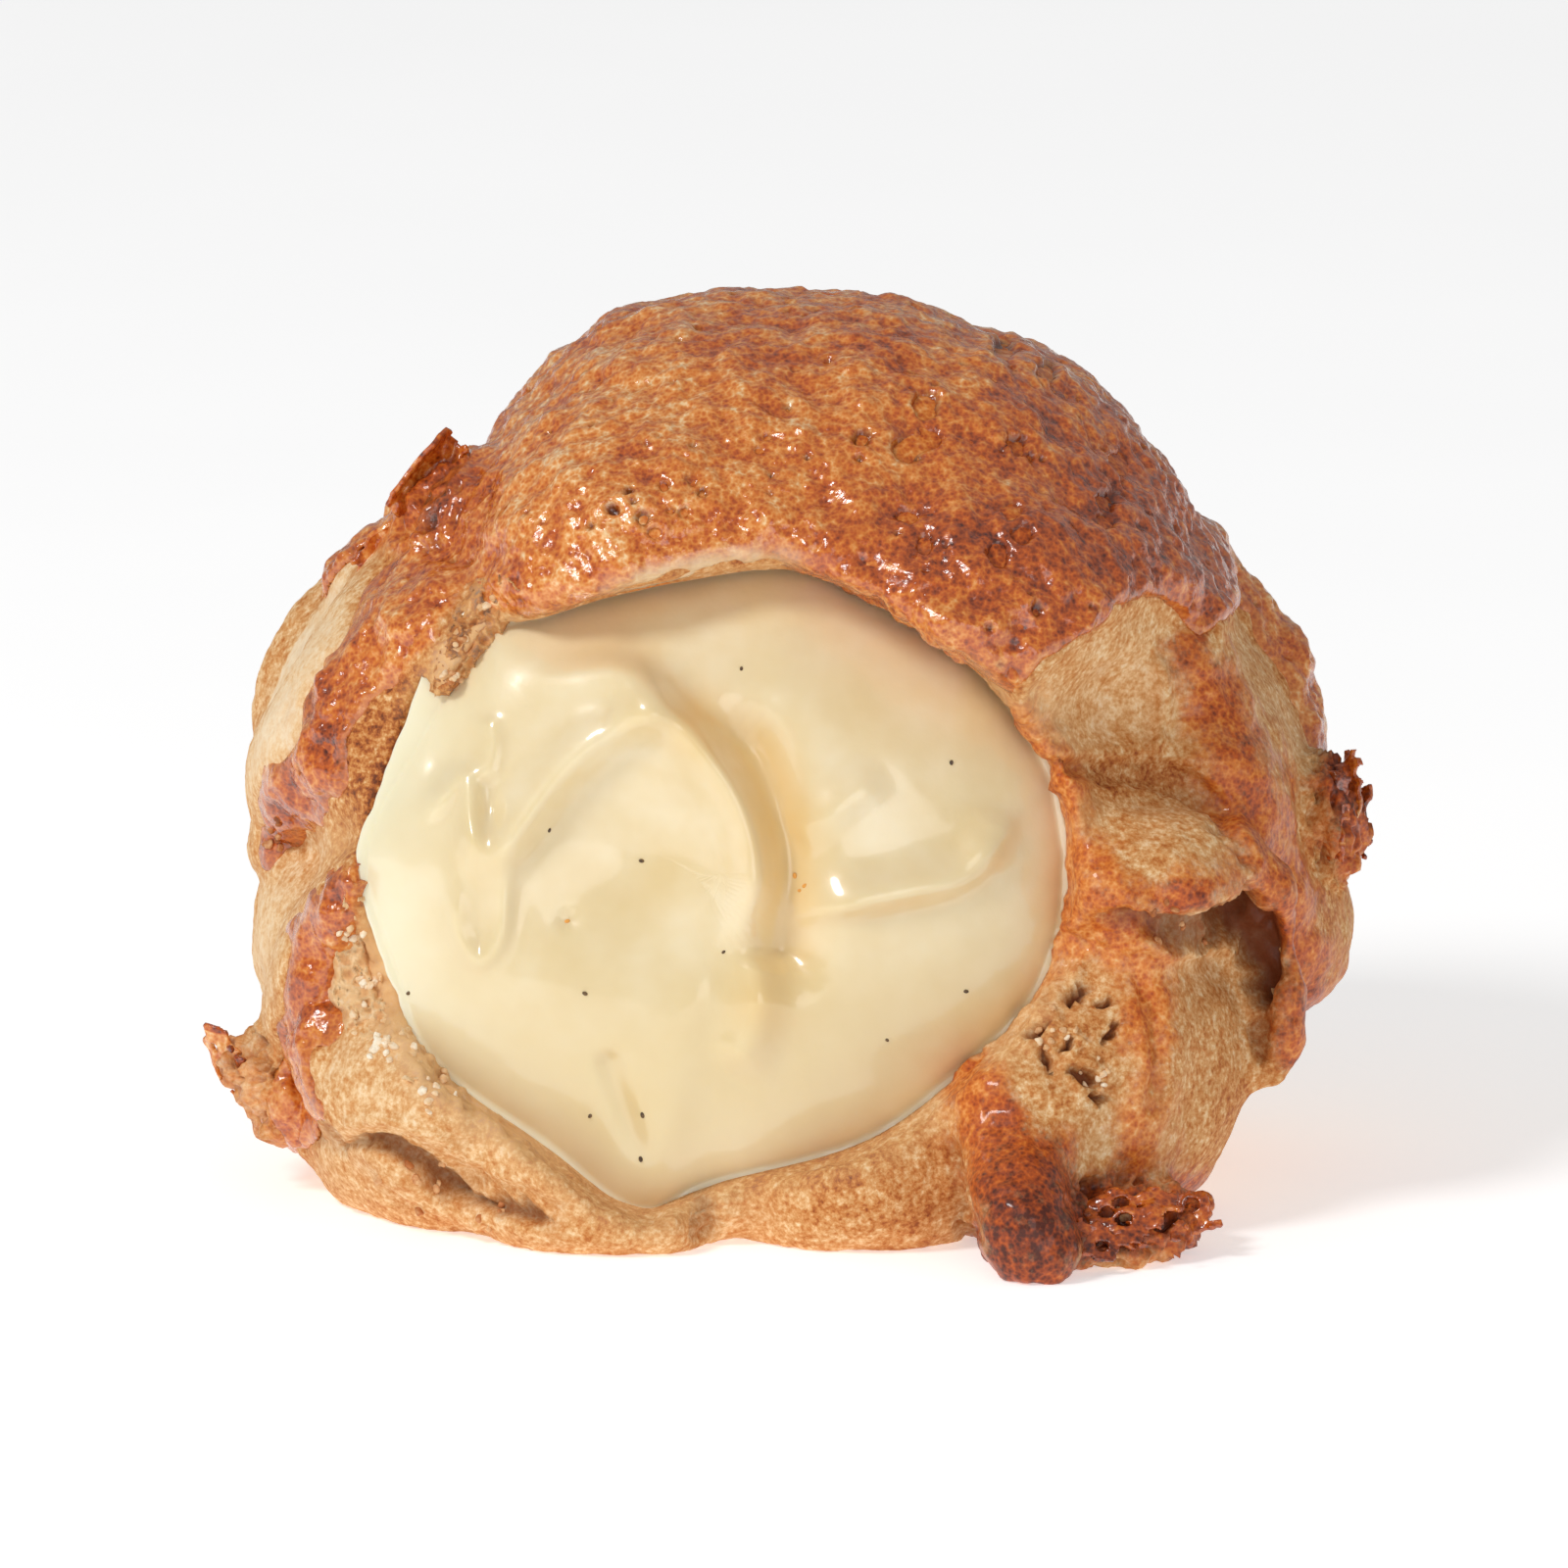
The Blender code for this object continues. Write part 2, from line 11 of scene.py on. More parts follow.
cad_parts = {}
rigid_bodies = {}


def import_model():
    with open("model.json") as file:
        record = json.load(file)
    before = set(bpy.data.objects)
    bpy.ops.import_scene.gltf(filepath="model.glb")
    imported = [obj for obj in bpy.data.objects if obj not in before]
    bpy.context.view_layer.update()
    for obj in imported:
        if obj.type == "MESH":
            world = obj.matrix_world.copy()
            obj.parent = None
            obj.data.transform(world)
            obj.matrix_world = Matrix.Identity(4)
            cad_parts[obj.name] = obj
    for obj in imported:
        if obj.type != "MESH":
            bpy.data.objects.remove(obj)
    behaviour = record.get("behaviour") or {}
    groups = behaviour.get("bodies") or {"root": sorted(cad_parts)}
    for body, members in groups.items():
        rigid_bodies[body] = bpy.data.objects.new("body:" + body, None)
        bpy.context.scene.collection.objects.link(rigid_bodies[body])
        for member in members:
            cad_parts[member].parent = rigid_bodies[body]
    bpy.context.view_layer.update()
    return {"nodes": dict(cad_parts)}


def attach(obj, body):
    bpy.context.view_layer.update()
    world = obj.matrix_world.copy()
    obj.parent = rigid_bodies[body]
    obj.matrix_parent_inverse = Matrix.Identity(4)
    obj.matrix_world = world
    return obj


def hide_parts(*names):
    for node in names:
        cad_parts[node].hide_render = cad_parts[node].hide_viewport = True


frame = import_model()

# Tables are in millimetres. What shows at the front is placed in face coordinates:
# x across, s up the torn face and d out of it, with the face leaning back.
mm = 0.001
faceLean = math.radians(12)
leanSin, leanCos = math.sin(faceLean), math.cos(faceLean)
puffShift = np.array((0.29, 0.88, -2.2))  # from the zero point of the tables to the frame's


def ease(value):
    value = np.clip(value, 0, 1)
    return value * value * (3 - 2 * value)


def toFace(points):
    x, y, z = points.T
    return np.stack([x, z * leanCos + y * leanSin, z * leanSin - y * leanCos], axis=1)


def fromFace(x, s, d):
    return np.stack([x, s * leanSin - d * leanCos, s * leanCos + d * leanSin], axis=-1)


def smoothPath(path, steps=6):
    # a curve through the rows of a path
    rows = np.array(path, float)
    ends = np.vstack([2 * rows[0] - rows[1], rows, 2 * rows[-1] - rows[-2]])
    curve = []
    for k in range(1, len(ends) - 2):
        a, b, c, d = ends[k - 1:k + 3]
        for t in np.arange(steps) / steps:
            curve.append(0.5 * (2 * b + (c - a) * t + (2 * a - 5 * b + 4 * c - d) * t ** 2
                                + (3 * b - a - 3 * c + d) * t ** 3))
    curve.append(rows[-1])
    return np.array(curve)


def pathGap(points, path):
    # how far each point is from a path, where along it from 0 to 1, and 1 on its left or -1 on its right
    nearest = np.full(len(points), 1e9)
    where = np.zeros(len(points))
    side = np.ones(len(points))
    for k in range(len(path) - 1):
        start, run = path[k], path[k + 1] - path[k]
        away = points - start
        t = np.clip(away @ run / max(run @ run, 1e-9), 0, 1)
        gap = np.linalg.norm(away - t[:, None] * run, axis=1)
        closer = gap < nearest
        nearest = np.where(closer, gap, nearest)
        where = np.where(closer, (k + t) / (len(path) - 1), where)
        turn = run[0] * away[:, 1] - run[1] * away[:, 0]
        side = np.where(closer, np.where(turn > 0, 1, -1), side)
    return nearest, where, side


def grain(points, size, seed):
    # smooth noise of about -1 to 1, with features of that size in millimetres
    size = np.array(size, float)
    return np.array([noise.noise(spot) for spot in (points / size + seed).tolist()])


def cells(points, size, seed):
    # distances to the two nearest points of a scattered lattice, as shares of size
    spots = (points / size + seed).tolist()
    return np.array([noise.voronoi(spot)[0][:2] for spot in spots]).T


def newObject(name, data):
    obj = bpy.data.objects.new(name, data)
    bpy.context.scene.collection.objects.link(obj)
    return obj


def meshObject(name, bm):
    mesh = bpy.data.meshes.new(name)
    bm.to_mesh(mesh)
    bm.free()
    return newObject(name, mesh)


def dress(obj, material):
    obj.data.materials.clear()
    obj.data.materials.append(material)
    obj.data.shade_smooth()


def meshTree(mesh):
    corners = [vert.co for vert in mesh.vertices]
    return BVHTree.FromPolygons(corners, [tuple(face.vertices) for face in mesh.polygons])


def addModifier(obj, kind, **settings):
    made = obj.modifiers.new(kind, kind)
    for key, value in settings.items():
        setattr(made, key, value)


def applyModifiers(obj):
    graph = bpy.context.evaluated_depsgraph_get()
    made = bpy.data.meshes.new_from_object(obj.evaluated_get(graph))
    old = obj.data
    obj.modifiers.clear()
    obj.data = made
    bpy.data.meshes.remove(old)


def fineSkin(name, node, voxel, rounds):
    # a merged copy of a node, remeshed fine and rounded
    bm = bmesh.new()
    bm.from_mesh(frame["nodes"][node].data)
    bmesh.ops.remove_doubles(bm, verts=bm.verts, dist=1e-6)
    obj = meshObject(name, bm)
    addModifier(obj, "REMESH", mode="VOXEL", voxel_size=voxel * mm)
    addModifier(obj, "SMOOTH", factor=0.5, iterations=rounds)
    applyModifiers(obj)
    return obj


def readPoints(obj):
    # places in the tables' millimetres, and the normals
    mesh = obj.data
    points = np.empty(len(mesh.vertices) * 3, np.float32)
    normals = np.empty(len(mesh.vertices) * 3, np.float32)
    mesh.vertices.foreach_get("co", points)
    mesh.vertices.foreach_get("normal", normals)
    return points.reshape(-1, 3).astype(float) / mm - puffShift, normals.reshape(-1, 3).astype(float)


def writePoints(obj, points):
    points = points + puffShift
    points[:, 2] = np.maximum(points[:, 2], 0.01)  # nothing under the floor
    obj.data.vertices.foreach_set("co", (points * mm).astype(np.float32).ravel())
    obj.data.update()


def writeFields(obj, **fields):
    # one number for each vertex, which a material reads by this name
    for name, values in fields.items():
        made = obj.data.attributes.new(name, "FLOAT", "POINT")
        made.data.foreach_set("value", np.asarray(values, np.float32))


def collapse(obj, ratio, group=""):
    addModifier(obj, "DECIMATE", ratio=ratio, vertex_group=group, use_collapse_triangulate=True)
    applyModifiers(obj)


def thinOut(obj, hidden, triangles, keptShare=0.2):
    # collapses mostly what doesn't show, then the flattest of the rest, down to that many triangles
    obj.data.calc_loop_triangles()
    corners = np.array([tri.vertices[:] for tri in obj.data.loop_triangles])
    hiddenShare = hidden[corners].all(axis=1).mean()
    obj.vertex_groups.new(name="hidden").add(np.nonzero(hidden)[0].tolist(), 1.0, "REPLACE")
    collapse(obj, 1 - (1 - keptShare) * hiddenShare, "hidden")
    obj.vertex_groups.clear()
    if len(obj.data.polygons) > triangles:
        collapse(obj, triangles / len(obj.data.polygons))


def custardGap(points):
    # distance from the custard's node in millimetres
    tree = meshTree(frame["nodes"]["custard"].data)
    spots = ((points + puffShift) * mm).tolist()
    return np.array([tree.find_nearest(spot)[3] for spot in spots]) / mm


# Where the crust lies: the cap over the top and the runs down from it

capEdge = (
    (-45, 50), (-28, 54), (-24.4, 58), (-23.8, 50), (-23.2, 43.8), (-20, 42.8), (-12.5, 45), (-5, 47.2),
    (-1.5, 47.2), (4, 44.6), (9, 41.6), (16, 37.6), (21, 41.6), (26, 44.8), (30, 41.5), (33, 44), (45, 44),
)
capBack = {"height": 45.5, "waves": ((3, 2.4, 0.4), (7, 1.6, 1.9), (11, 1.0, 0.8))}
faceRuns = {  # thick runs of the left side: (x, s, half width) along each
    "leftRun": ((-23.5, 52, 3.2), (-25.6, 48.5, 3.2), (-27.8, 45, 3.1), (-30.2, 41.4, 3.1),
                (-33.2, 38.2, 2.4), (-34.6, 35, 1.9), (-35.4, 32, 2.3), (-37.2, 29.3, 2.5),
                (-38.9, 26.6, 1.3), (-39.3, 24.8, 0.5)),
    "leftSecond": ((-32.2, 24.6, 0.7), (-34.4, 20.8, 2.0), (-35.6, 17, 2.1), (-35.8, 14, 2.2),
                   (-37.1, 11, 1.5), (-37.3, 8, 1.7), (-37, 5.2, 1.7), (-37.4, 3.6, 0.7)),
}
backRuns = ((14, 22, 3.4), (47, 12, 4.0), (78, 27, 3.2), (104, 7, 4.2), (139, 20, 3.6))
glazeRuns = {  # thin runs that stained the right side: strength, then (x, s, half width) along each
    "middle": (0.9, ((17, 36, 0.6), (19.8, 31, 1.5), (20.8, 26, 2.0), (23, 20.6, 3.6), (25.8, 16, 1.9),
                     (26.4, 10.4, 1.5), (25.4, 3.5, 1.9))),
    "rim": (0.8, ((13.6, 15.5, 0.8), (17.4, 18.2, 2.0), (21.5, 19, 2.4))),
    "right": (0.95, ((29.6, 41, 1.8), (31.4, 35.5, 2.5), (33.6, 30, 2.9), (35.4, 25, 2.5), (37.4, 18.5, 1.8),
                     (37, 11.5, 2.2))),
    "knuckleLow": (1.0, ((24, 22.8, 0.8), (28, 22.6, 1.8), (32.6, 24, 1.4))),
    "toe": (1.0, ((11.4, 11, 0.8), (13, 8, 2.2), (15, 4, 3.2), (17.6, 0, 4.4), (17, -6, 4.6))),
    "apron": (0.95, ((19, -0.5, 3.6), (24, -1.2, 3.4), (31, -1, 3.2))),
    "darkRight": (1.0, ((40.8, 33, 1.6), (41.4, 29, 2.2), (41.4, 25.5, 1.5))),
    "curl": (1.0, ((-24, 56.5, 1.8), (-27.6, 51.5, 2.6), (-31, 48.4, 0.8))),
    "comb": (0.55, ((-43, 12.5, 2.2), (-40.6, 8, 2.6), (-38.6, 4.5, 1.6))),
}
flakes = {  # crust that stands clear of the puff: centre, radii and size of its cells each way
    "curlTopLeft": ((-25.8, -4, 51.5), (3.6, 6.5, 5.6), (1.1, 2.4, 3.2)),
    "combLeft": ((-40.2, -7, 10.5), (4.8, 5.6, 4.4), (1.5, 1.7, 1.3)),
    "darkRight": ((40.2, 1, 29), (3, 6, 5.2), (0.7, 1.1, 5.5)),
    "apron": ((22.5, -29, 4.4), (9.2, 7, 3.6), (2.0, 1.6, 1.5)),
    "apronTip": ((29, -27.5, 4.8), (3.8, 3.3, 2.5), (1.4, 1.4, 1.1)),
}


def runReach(spots, path):
    curve = smoothPath(path)
    gap, where, _ = pathGap(spots, curve[:, :2])
    return np.interp(where, np.linspace(0, 1, len(curve)), curve[:, 2]) - gap


def crustReach(points):
    # millimetres inside the edge of the thick crust, negative on bare choux
    face = toFace(points)
    x, y, z = points.T
    edge = np.array(capEdge, float)
    azimuth = np.arctan2(y, x)
    radius = np.hypot(x, y)
    front = face[:, 1] - np.interp(x, edge[:, 0], edge[:, 1])
    wave = sum(size * np.sin(turns * azimuth + start) for turns, size, start in capBack["waves"])
    back = z - capBack["height"] - wave * ease(y / 12)
    share = ease((y + 3) / 6)
    reach = front * (1 - share) + back * share
    reach += 1.0 * grain(points, 5, 3.1) + 0.6 * grain(points, 1.9, 7.7)
    sway = 0.9 * grain(points, 4, 11.3) + 0.5 * grain(points, 1.6, 5.5)
    for path in faceRuns.values():
        reach = np.maximum(reach, np.where(y < 6, runReach(face[:, :2], path) + sway, -9))
    for angle, low, half in backRuns:
        bend = 1.6 * np.sin(z / 4.5 + angle)
        aside = np.abs((azimuth - np.radians(angle)) * radius + bend)
        taper = half * (0.55 + 0.45 * ease((z - low) / 10))
        run = np.minimum(taper - aside, z - low) + sway
        behind = (y > -4) & (radius > 12) & (z < capBack["height"] + 5)
        reach = np.maximum(reach, np.where(behind, run, -9))
    return reach


def glazeShare(points, normals):
    # how far the thin crust of the right side covers the choux, from 0 to 1
    face = toFace(points)
    ragged = 1.8 * grain(points, 3.6, 12.1) + 0.9 * grain(points, 1.3, 3.9)
    front = ease((8 - points[:, 1]) / 4) * (normals[:, 1] < 0.5)
    cover = np.zeros(len(points))
    for strength, path in glazeRuns.values():
        cover = np.maximum(cover, strength * ease((runReach(face[:, :2], path) + ragged) / 3.0 + 0.5))
    return cover * front


def flakeRelief(points):
    # 1 on the torn flakes, and how far their walls stand out and their open cells go in
    share = np.zeros(len(points))
    relief = np.zeros(len(points))
    pit = np.zeros(len(points))
    for centre, radii, size in flakes.values():
        away = np.linalg.norm((points - centre) / np.array(radii), axis=1)
        on = away < 1.25
        if not on.any():
            continue
        inside = ease((1.25 - away[on]) / 0.35)
        warp = 0.5 * grain(points[on], 2.2, 4.9)[:, None]
        near, second = cells((points[on] + warp) / np.array(size), 1.0, 4.4)
        wall = ease((0.34 - (second - near)) / 0.26)
        cell = ease(1 - near / 0.55)
        blade = grain(points[on], np.array(size) * 1.2, 7.3)
        rough = 0.4 * grain(points[on], 1.1, 3.3) - 0.3
        relief[on] = inside * (0.5 * wall - 1.2 * cell + 0.9 * blade + rough)
        share[on] = inside
        pit[on] = inside * cell
    return share, relief, pit


# The choux body: pale lobes, toasted in patches, torn round the custard

body = {
    "voxel": 0.4, "rounds": 20, "triangles": 194000,
    "toast": 0.34, "crumbWidth": 3.4,
    "grains": (9, 2.8, 1.05, 0.7),  # sizes of the relief, from broad to wrinkles
    "broadLift": 0.28, "mediumLift": 0.14, "skinFine": 0.07, "spongeSize": 1.25, "holeDepth": 1.3,
    "pitted": (20.4, 11.6, 4.4, 5),  # x, s and radii of the patch with holes
    "hiddenGap": 0.75, "rimGap": 2.0,  # how near the custard's node it is out of sight, and at the rim
    "underCrust": 0.35,
}
toastPatches = {  # x, s, radii and how toasted, on the front only
    "leftLobe": (-37.5, 38, 7.5, 12, 0.02),
    "leftRecess": (-29.5, 31, 4.5, 8, 0.74),
    "leftLow": (-40, 20, 3.5, 6.5, 0.14),
    "rimLeft": (-28, 9, 8, 6, 0.30),
    "rimMiddle": (-19, 3, 8, 6, 0.36),
    "baseLeft": (-32, -1, 7, 4, 0.34),
    "baseMiddle": (5, 2, 9, 6, 0.50),
    "pitted": (20.5, 11, 4.6, 6, 0.42),
    "rightRecess": (23, 37.5, 6.5, 5.5, 0.32),
    "rightValley": (26, 31.5, 6, 2.0, 0.60),
    "rightKnuckle": (27, 26, 6, 5, 0.42),
    "rightLow": (31, 9, 8, 9, 0.46),
    "rightFar": (40, 22, 5, 12, 0.50),
    "rightEdge": (37, 37, 5, 7, 0.36),
}
darkCreases = {  # how dark the painted shade in it is, how deep, then (x, s, half width) along each
    "underRim": (1.0, 1.3, ((-33.5, 3.8, 0.2), (-30.5, 4.2, 0.5), (-27.4, 2.4, 0.9), (-24, 0.2, 0.6),
                            (-21, -0.6, 0.8), (-17, -1.6, 0.2))),
    "rimTip": (0.5, 0.5, ((-36.4, 7.4, 0.3), (-35.6, 5.2, 0.7), (-33.4, 3.8, 0.5))),
    "overKnuckle": (0.25, 0.9, ((19.1, 32.4, 0.5), (23.4, 31.8, 1.0), (27.4, 31.4, 1.2), (31.3, 29.0, 0.9),
                                (33.6, 25, 0.5))),
    "underKnuckle": (1.0, 1.4, ((22.4, 21.0, 0.3), (26, 20.4, 0.8), (29.4, 19.8, 1.1), (32.4, 20.8, 1.0),
                                (33.8, 23.2, 0.4))),
    "sideGap": (1.3, 2.2, ((31.6, 20.2, 0.5), (34.0, 19.6, 1.9), (34.8, 17.4, 1.5), (34.4, 15, 0.7))),
    "hangLeft": (0.7, 0.9, ((34.6, 15.4, 0.6), (34.4, 12.6, 0.6), (34.6, 10.4, 0.4))),
    "lowLobe": (0.2, 0.6, ((24.4, 18, 0.3), (26.6, 13, 0.7), (26.6, 7, 0.6))),
    "baseGap": (0.5, 0.6, ((-8.5, 4.5, 0.3), (-7.2, 1.4, 0.8), (-6.6, -1.8, 1.0))),
    "baseRight": (0.4, 0.7, ((11, 5.5, 0.3), (12.2, 1.5, 0.7), (12.8, -2.5, 0.8))),
}
edges = {  # folds that stand out: height, then (x, s, half width) along each
    "rightRecess": (0.9, ((27, 39.6, 0.5), (27.3, 36.5, 0.9), (26.6, 33, 0.5))),
    "rightLip": (0.5, ((15.6, 39.4, 0.6), (17.6, 35, 0.8), (19.2, 30.8, 0.6))),
    "layerOne": (0.55, ((20.6, 20.4, 0.4), (17.8, 17.2, 0.7), (13.6, 13.6, 0.5), (10.4, 11.2, 0.3))),
    "layerTwo": (0.5, ((22.6, 19.4, 0.4), (19.6, 15.6, 0.6), (15.2, 11.8, 0.5), (12, 9.0, 0.3))),
    "knuckleCrumb": (0.6, ((25, 19, 0.5), (28.4, 18.6, 0.8), (32, 19.2, 0.5))),
    "crackLow": (0.7, ((-30.6, 1.6, 0.5), (-27.4, 0.6, 0.9), (-23.4, -1.6, 0.6))),
    "crackHigh": (0.5, ((-33, 5.6, 0.4), (-29.6, 6.0, 0.6), (-25.4, 3.8, 0.6), (-20.6, 1.6, 0.4))),
}
holes = (  # x, s, half sizes and turn in degrees, in the pitted patch and the apron
    (20.9, 15.4, 1.0, 0.4, 40), (22.8, 14.6, 0.7, 0.35, 20), (18.0, 12.9, 1.1, 0.4, 25),
    (18.6, 10.6, 0.35, 0.8, 15), (21.4, 9.2, 1.1, 0.4, -35), (23.4, 12.4, 0.8, 0.3, 40),
    (16.6, 13.8, 0.6, 0.3, 30), (20.2, 11.6, 0.35, 0.6, -10), (22.4, 7.6, 0.7, 0.3, -20),
    (24.0, -0.9, 1.7, 0.9, 15), (21.7, 0.9, 0.7, 0.5, 50), (27.4, -1.6, 0.9, 0.5, 20),
)


swells = {  # centre, radii and how far the body stands out or in there
    "farRight": ((39.5, 3, 17.5), (7, 10, 6.5), 2.3),
    "stripEnd": ((37.4, -7, 9.4), (4.4, 9, 4.4), -3.2),
    "crown": ((-1, 2, 68), (15, 20, 8), -0.9),
    "rimTip": ((-33.5, -16, 9), (2.6, 5, 3.2), 0.8),
    "knuckle": ((28.5, -16, 26), (4.5, 6, 4), 0.6),
    "lowLobe": ((31.5, -14, 11), (5, 7, 6), 0.7),
}


def swellLift(points):
    return sum(rise * np.exp(-(((points - centre) / np.array(radii)) ** 2).sum(axis=1))
               for centre, radii, rise in swells.values())


def holeDepth(face, front):
    depth = np.zeros(len(face))
    for x, s, wide, tall, turn in holes:
        across, up = face[:, 0] - x, face[:, 1] - s
        turnCos, turnSin = math.cos(math.radians(turn)), math.sin(math.radians(turn))
        away = np.hypot((across * turnCos + up * turnSin) / wide, (up * turnCos - across * turnSin) / tall)
        depth = np.maximum(depth, ease((1.4 - away) / 0.7) * front)
    return depth


def bodyPiece():
    obj = fineSkin("chouxBody", "choux_shell", body["voxel"], body["rounds"])
    points, normals = readPoints(obj)
    gap = custardGap(points)
    face = toFace(points)
    faceX, faceS, faceD = face.T
    reach = crustReach(points)
    glaze = glazeShare(points, normals)
    torn, flakeLift, pit = flakeRelief(points)
    front = ease(-normals[:, 1] * 2 + 0.6) * (points[:, 1] < 4)
    hidden = gap < body["hiddenGap"]
    broad, medium, fine, wrinkle = (
        grain(points, size, seed) for size, seed in zip(body["grains"], (2.2, 8.8, 4.4, 1.4)))
    sponge, _ = cells(points + 0.4 * medium[:, None], body["spongeSize"], 6.1)

    # crumb laid bare round the tear
    across, up = faceX - faceCentre[0], faceS - faceCentre[1]
    fromRim = np.hypot(across, up) - outlineRadius(np.arctan2(up, across)) + 0.7 * medium
    crumb = ease(1 - (fromRim - 0.6) / body["crumbWidth"]) * (faceD > 12) * (points[:, 1] < 0)
    crumb *= ease(0.3 - reach / 1.2) * (1 - 0.6 * glaze)
    crumb *= 0.2 + 0.5 * ease((-16 - faceX) / 6) + 0.4 * ease((faceS - 30) / 4) * (faceX > 8)
    crumb *= 1 - np.exp(-((faceX + 29.5) / 5) ** 4 - ((faceS - 31.5) / 6.5) ** 4)

    lift = body["broadLift"] * broad + body["mediumLift"] * medium + body["skinFine"] * (fine + wrinkle)
    lift += crumb * (0.8 * medium + 0.7 * fine + 0.25 - 0.9 * ease(1 - sponge / 0.42))
    lift += flakeLift
    lift += swellLift(points)
    lift += glaze * (0.12 + 0.16 * medium + 0.1 * fine) * (1 - torn)
    for height, path in edges.values():
        lift += height * ease((runReach(face[:, :2], path) + 0.4 * fine) / 0.8 + 0.3) * front
    # painted shade along the creases, which are also pressed in
    creaseShade = np.zeros(len(points))
    for strength, depth, path in darkCreases.values():
        inside = ease((runReach(face[:, :2], path) + 0.6 * medium + 0.5 * fine) / 0.9 + 0.4) * front
        creaseShade = np.maximum(creaseShade, strength * inside)
        lift += inside * (0.5 * fine - depth)
    hole = holeDepth(face + 0.5 * np.stack([fine, wrinkle, medium], axis=1), front)
    lift -= body["holeDepth"] * hole
    x, s, wide, tall = body["pitted"]
    pitted = front * ease(1.3 - np.hypot((faceX - x) / wide, (faceS - s) / tall))
    lift += pitted * (0.3 * fine + 0.4 * medium - 0.5 * ease(1 - sponge / 0.4))
    lift -= body["underCrust"] * ease((reach + 0.4) / 0.8)
    lift = np.where(gap < body["rimGap"], np.maximum(lift, 0.15), lift)
    lift = np.where(hidden, np.minimum(lift, 0.0), lift)

    # painted shade: darker in the dips of the skin and in the pores of the bared crumb and the pitted patch
    hollow = np.clip(-medium - 0.15, 0, 1) * 0.5
    hollow = hollow + np.maximum(crumb, pitted) * ease(1 - sponge / 0.45) * 0.8
    glaze = np.maximum(glaze, ease(reach / 0.8))
    toast = body["toast"] + 0.10 * broad + 0.06 * medium
    for x, s, wide, tall, level in toastPatches.values():
        share = ((faceX - x) / wide) ** 2 + ((faceS - s) / tall) ** 2
        weight = np.exp(-share ** 1.5) * front
        toast = toast * (1 - weight) + (level + 0.06 * broad + 0.05 * medium) * weight
    toast += 0.12 * ease(1 + reach / 2.0) * (reach < 0.5)

    writePoints(obj, points + normals * lift[:, None])
    # painted shade in the holes, the creases and the flakes' open cells goes into one field
    writeFields(obj, toast=toast, crumb=crumb, hollow=hollow, glaze=glaze,
                dark=np.maximum(np.maximum(hole, 0.8 * creaseShade), 0.7 * pit),
                burn=burnShare(points, face, broad))
    thinOut(obj, hidden | (reach > 1.2), body["triangles"])
    dress(obj, chouxFinish())
    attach(obj, "root")
    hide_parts("choux_shell")
    print("choux body:", len(obj.data.polygons), "faces")
    return obj


# The crust: a thin foamy skin that ran down and set

crust = {
    "voxel": 0.33, "rounds": 30, "triangles": 196000,
    "lift": 0.2, "bury": 0.75, "thickness": 0.7,
    "clear": 0.62, "tatter": 1.1,  # how far its edge stays off the custard, and how torn it is there
    "scrap": 60,  # loose bits with fewer corners are dropped
    "foamSize": 1.35, "poreDepth": 0.85, "poreSpacing": 2.4,
    "film": (-7, 46.1, 6.0, 1.5),  # x, s and radii of the cream smeared on the cap's edge
}
pores = (  # x, s and radius on the face
    (-5.2, 46.6, 0.5), (-4.4, 46.7, 0.45),
    (9.8, 58.9, 0.9), (10.1, 56.4, 0.7), (5.0, 56.4, 0.6), (8.3, 55.6, 1.0), (16.4, 55.9, 0.6),
    (-13.4, 50.9, 0.4), (-11.2, 50.3, 0.5), (-9.6, 52.7, 0.4), (-8.2, 50.9, 0.3), (-12.2, 52.2, 0.3),
    (-10.4, 49.3, 0.35), (-14.8, 49.6, 0.3), (-6.8, 52.2, 0.3), (14.9, 47.6, 0.7), (16.7, 49.1, 0.7),
    (8.3, 50.5, 0.5), (18.8, 61.6, 0.8), (15.6, 63.5, 0.8), (9.6, 48.6, 0.6), (16.0, 50.9, 0.6),
    (23.1, 51.8, 0.8), (24.0, 54.7, 0.7), (17.8, 43.7, 0.5), (23.0, 50.3, 0.7),
)
blisters = (  # x, s, radius and height
    (5.0, 51.0, 2.2, 0.55), (10.9, 54.9, 1.6, 0.45), (12.6, 52.6, 1.8, 0.5), (3.2, 49.0, 1.6, 0.4),
    (11.6, 49.0, 1.5, 0.4), (-3, 57.8, 1.4, 0.3), (-32.2, 46.9, 2.0, 0.5), (-34.0, 42.9, 1.9, 0.5),
    (-35.8, 39.6, 1.7, 0.4), (-29, 49, 2.0, 0.45), (-37, 33, 1.8, 0.4), (-35.6, 19.5, 1.8, 0.4),
)


def dropScraps(bm, smallest):
    left = set(bm.verts)
    while left:
        stack, island = [left.pop()], []
        while stack:
            vert = stack.pop()
            island.append(vert)
            for edge in vert.link_edges:
                other = edge.other_vert(vert)
                if other in left:
                    left.remove(other)
                    stack.append(other)
        if len(island) < smallest:
            bmesh.ops.delete(bm, geom=island, context="VERTS")


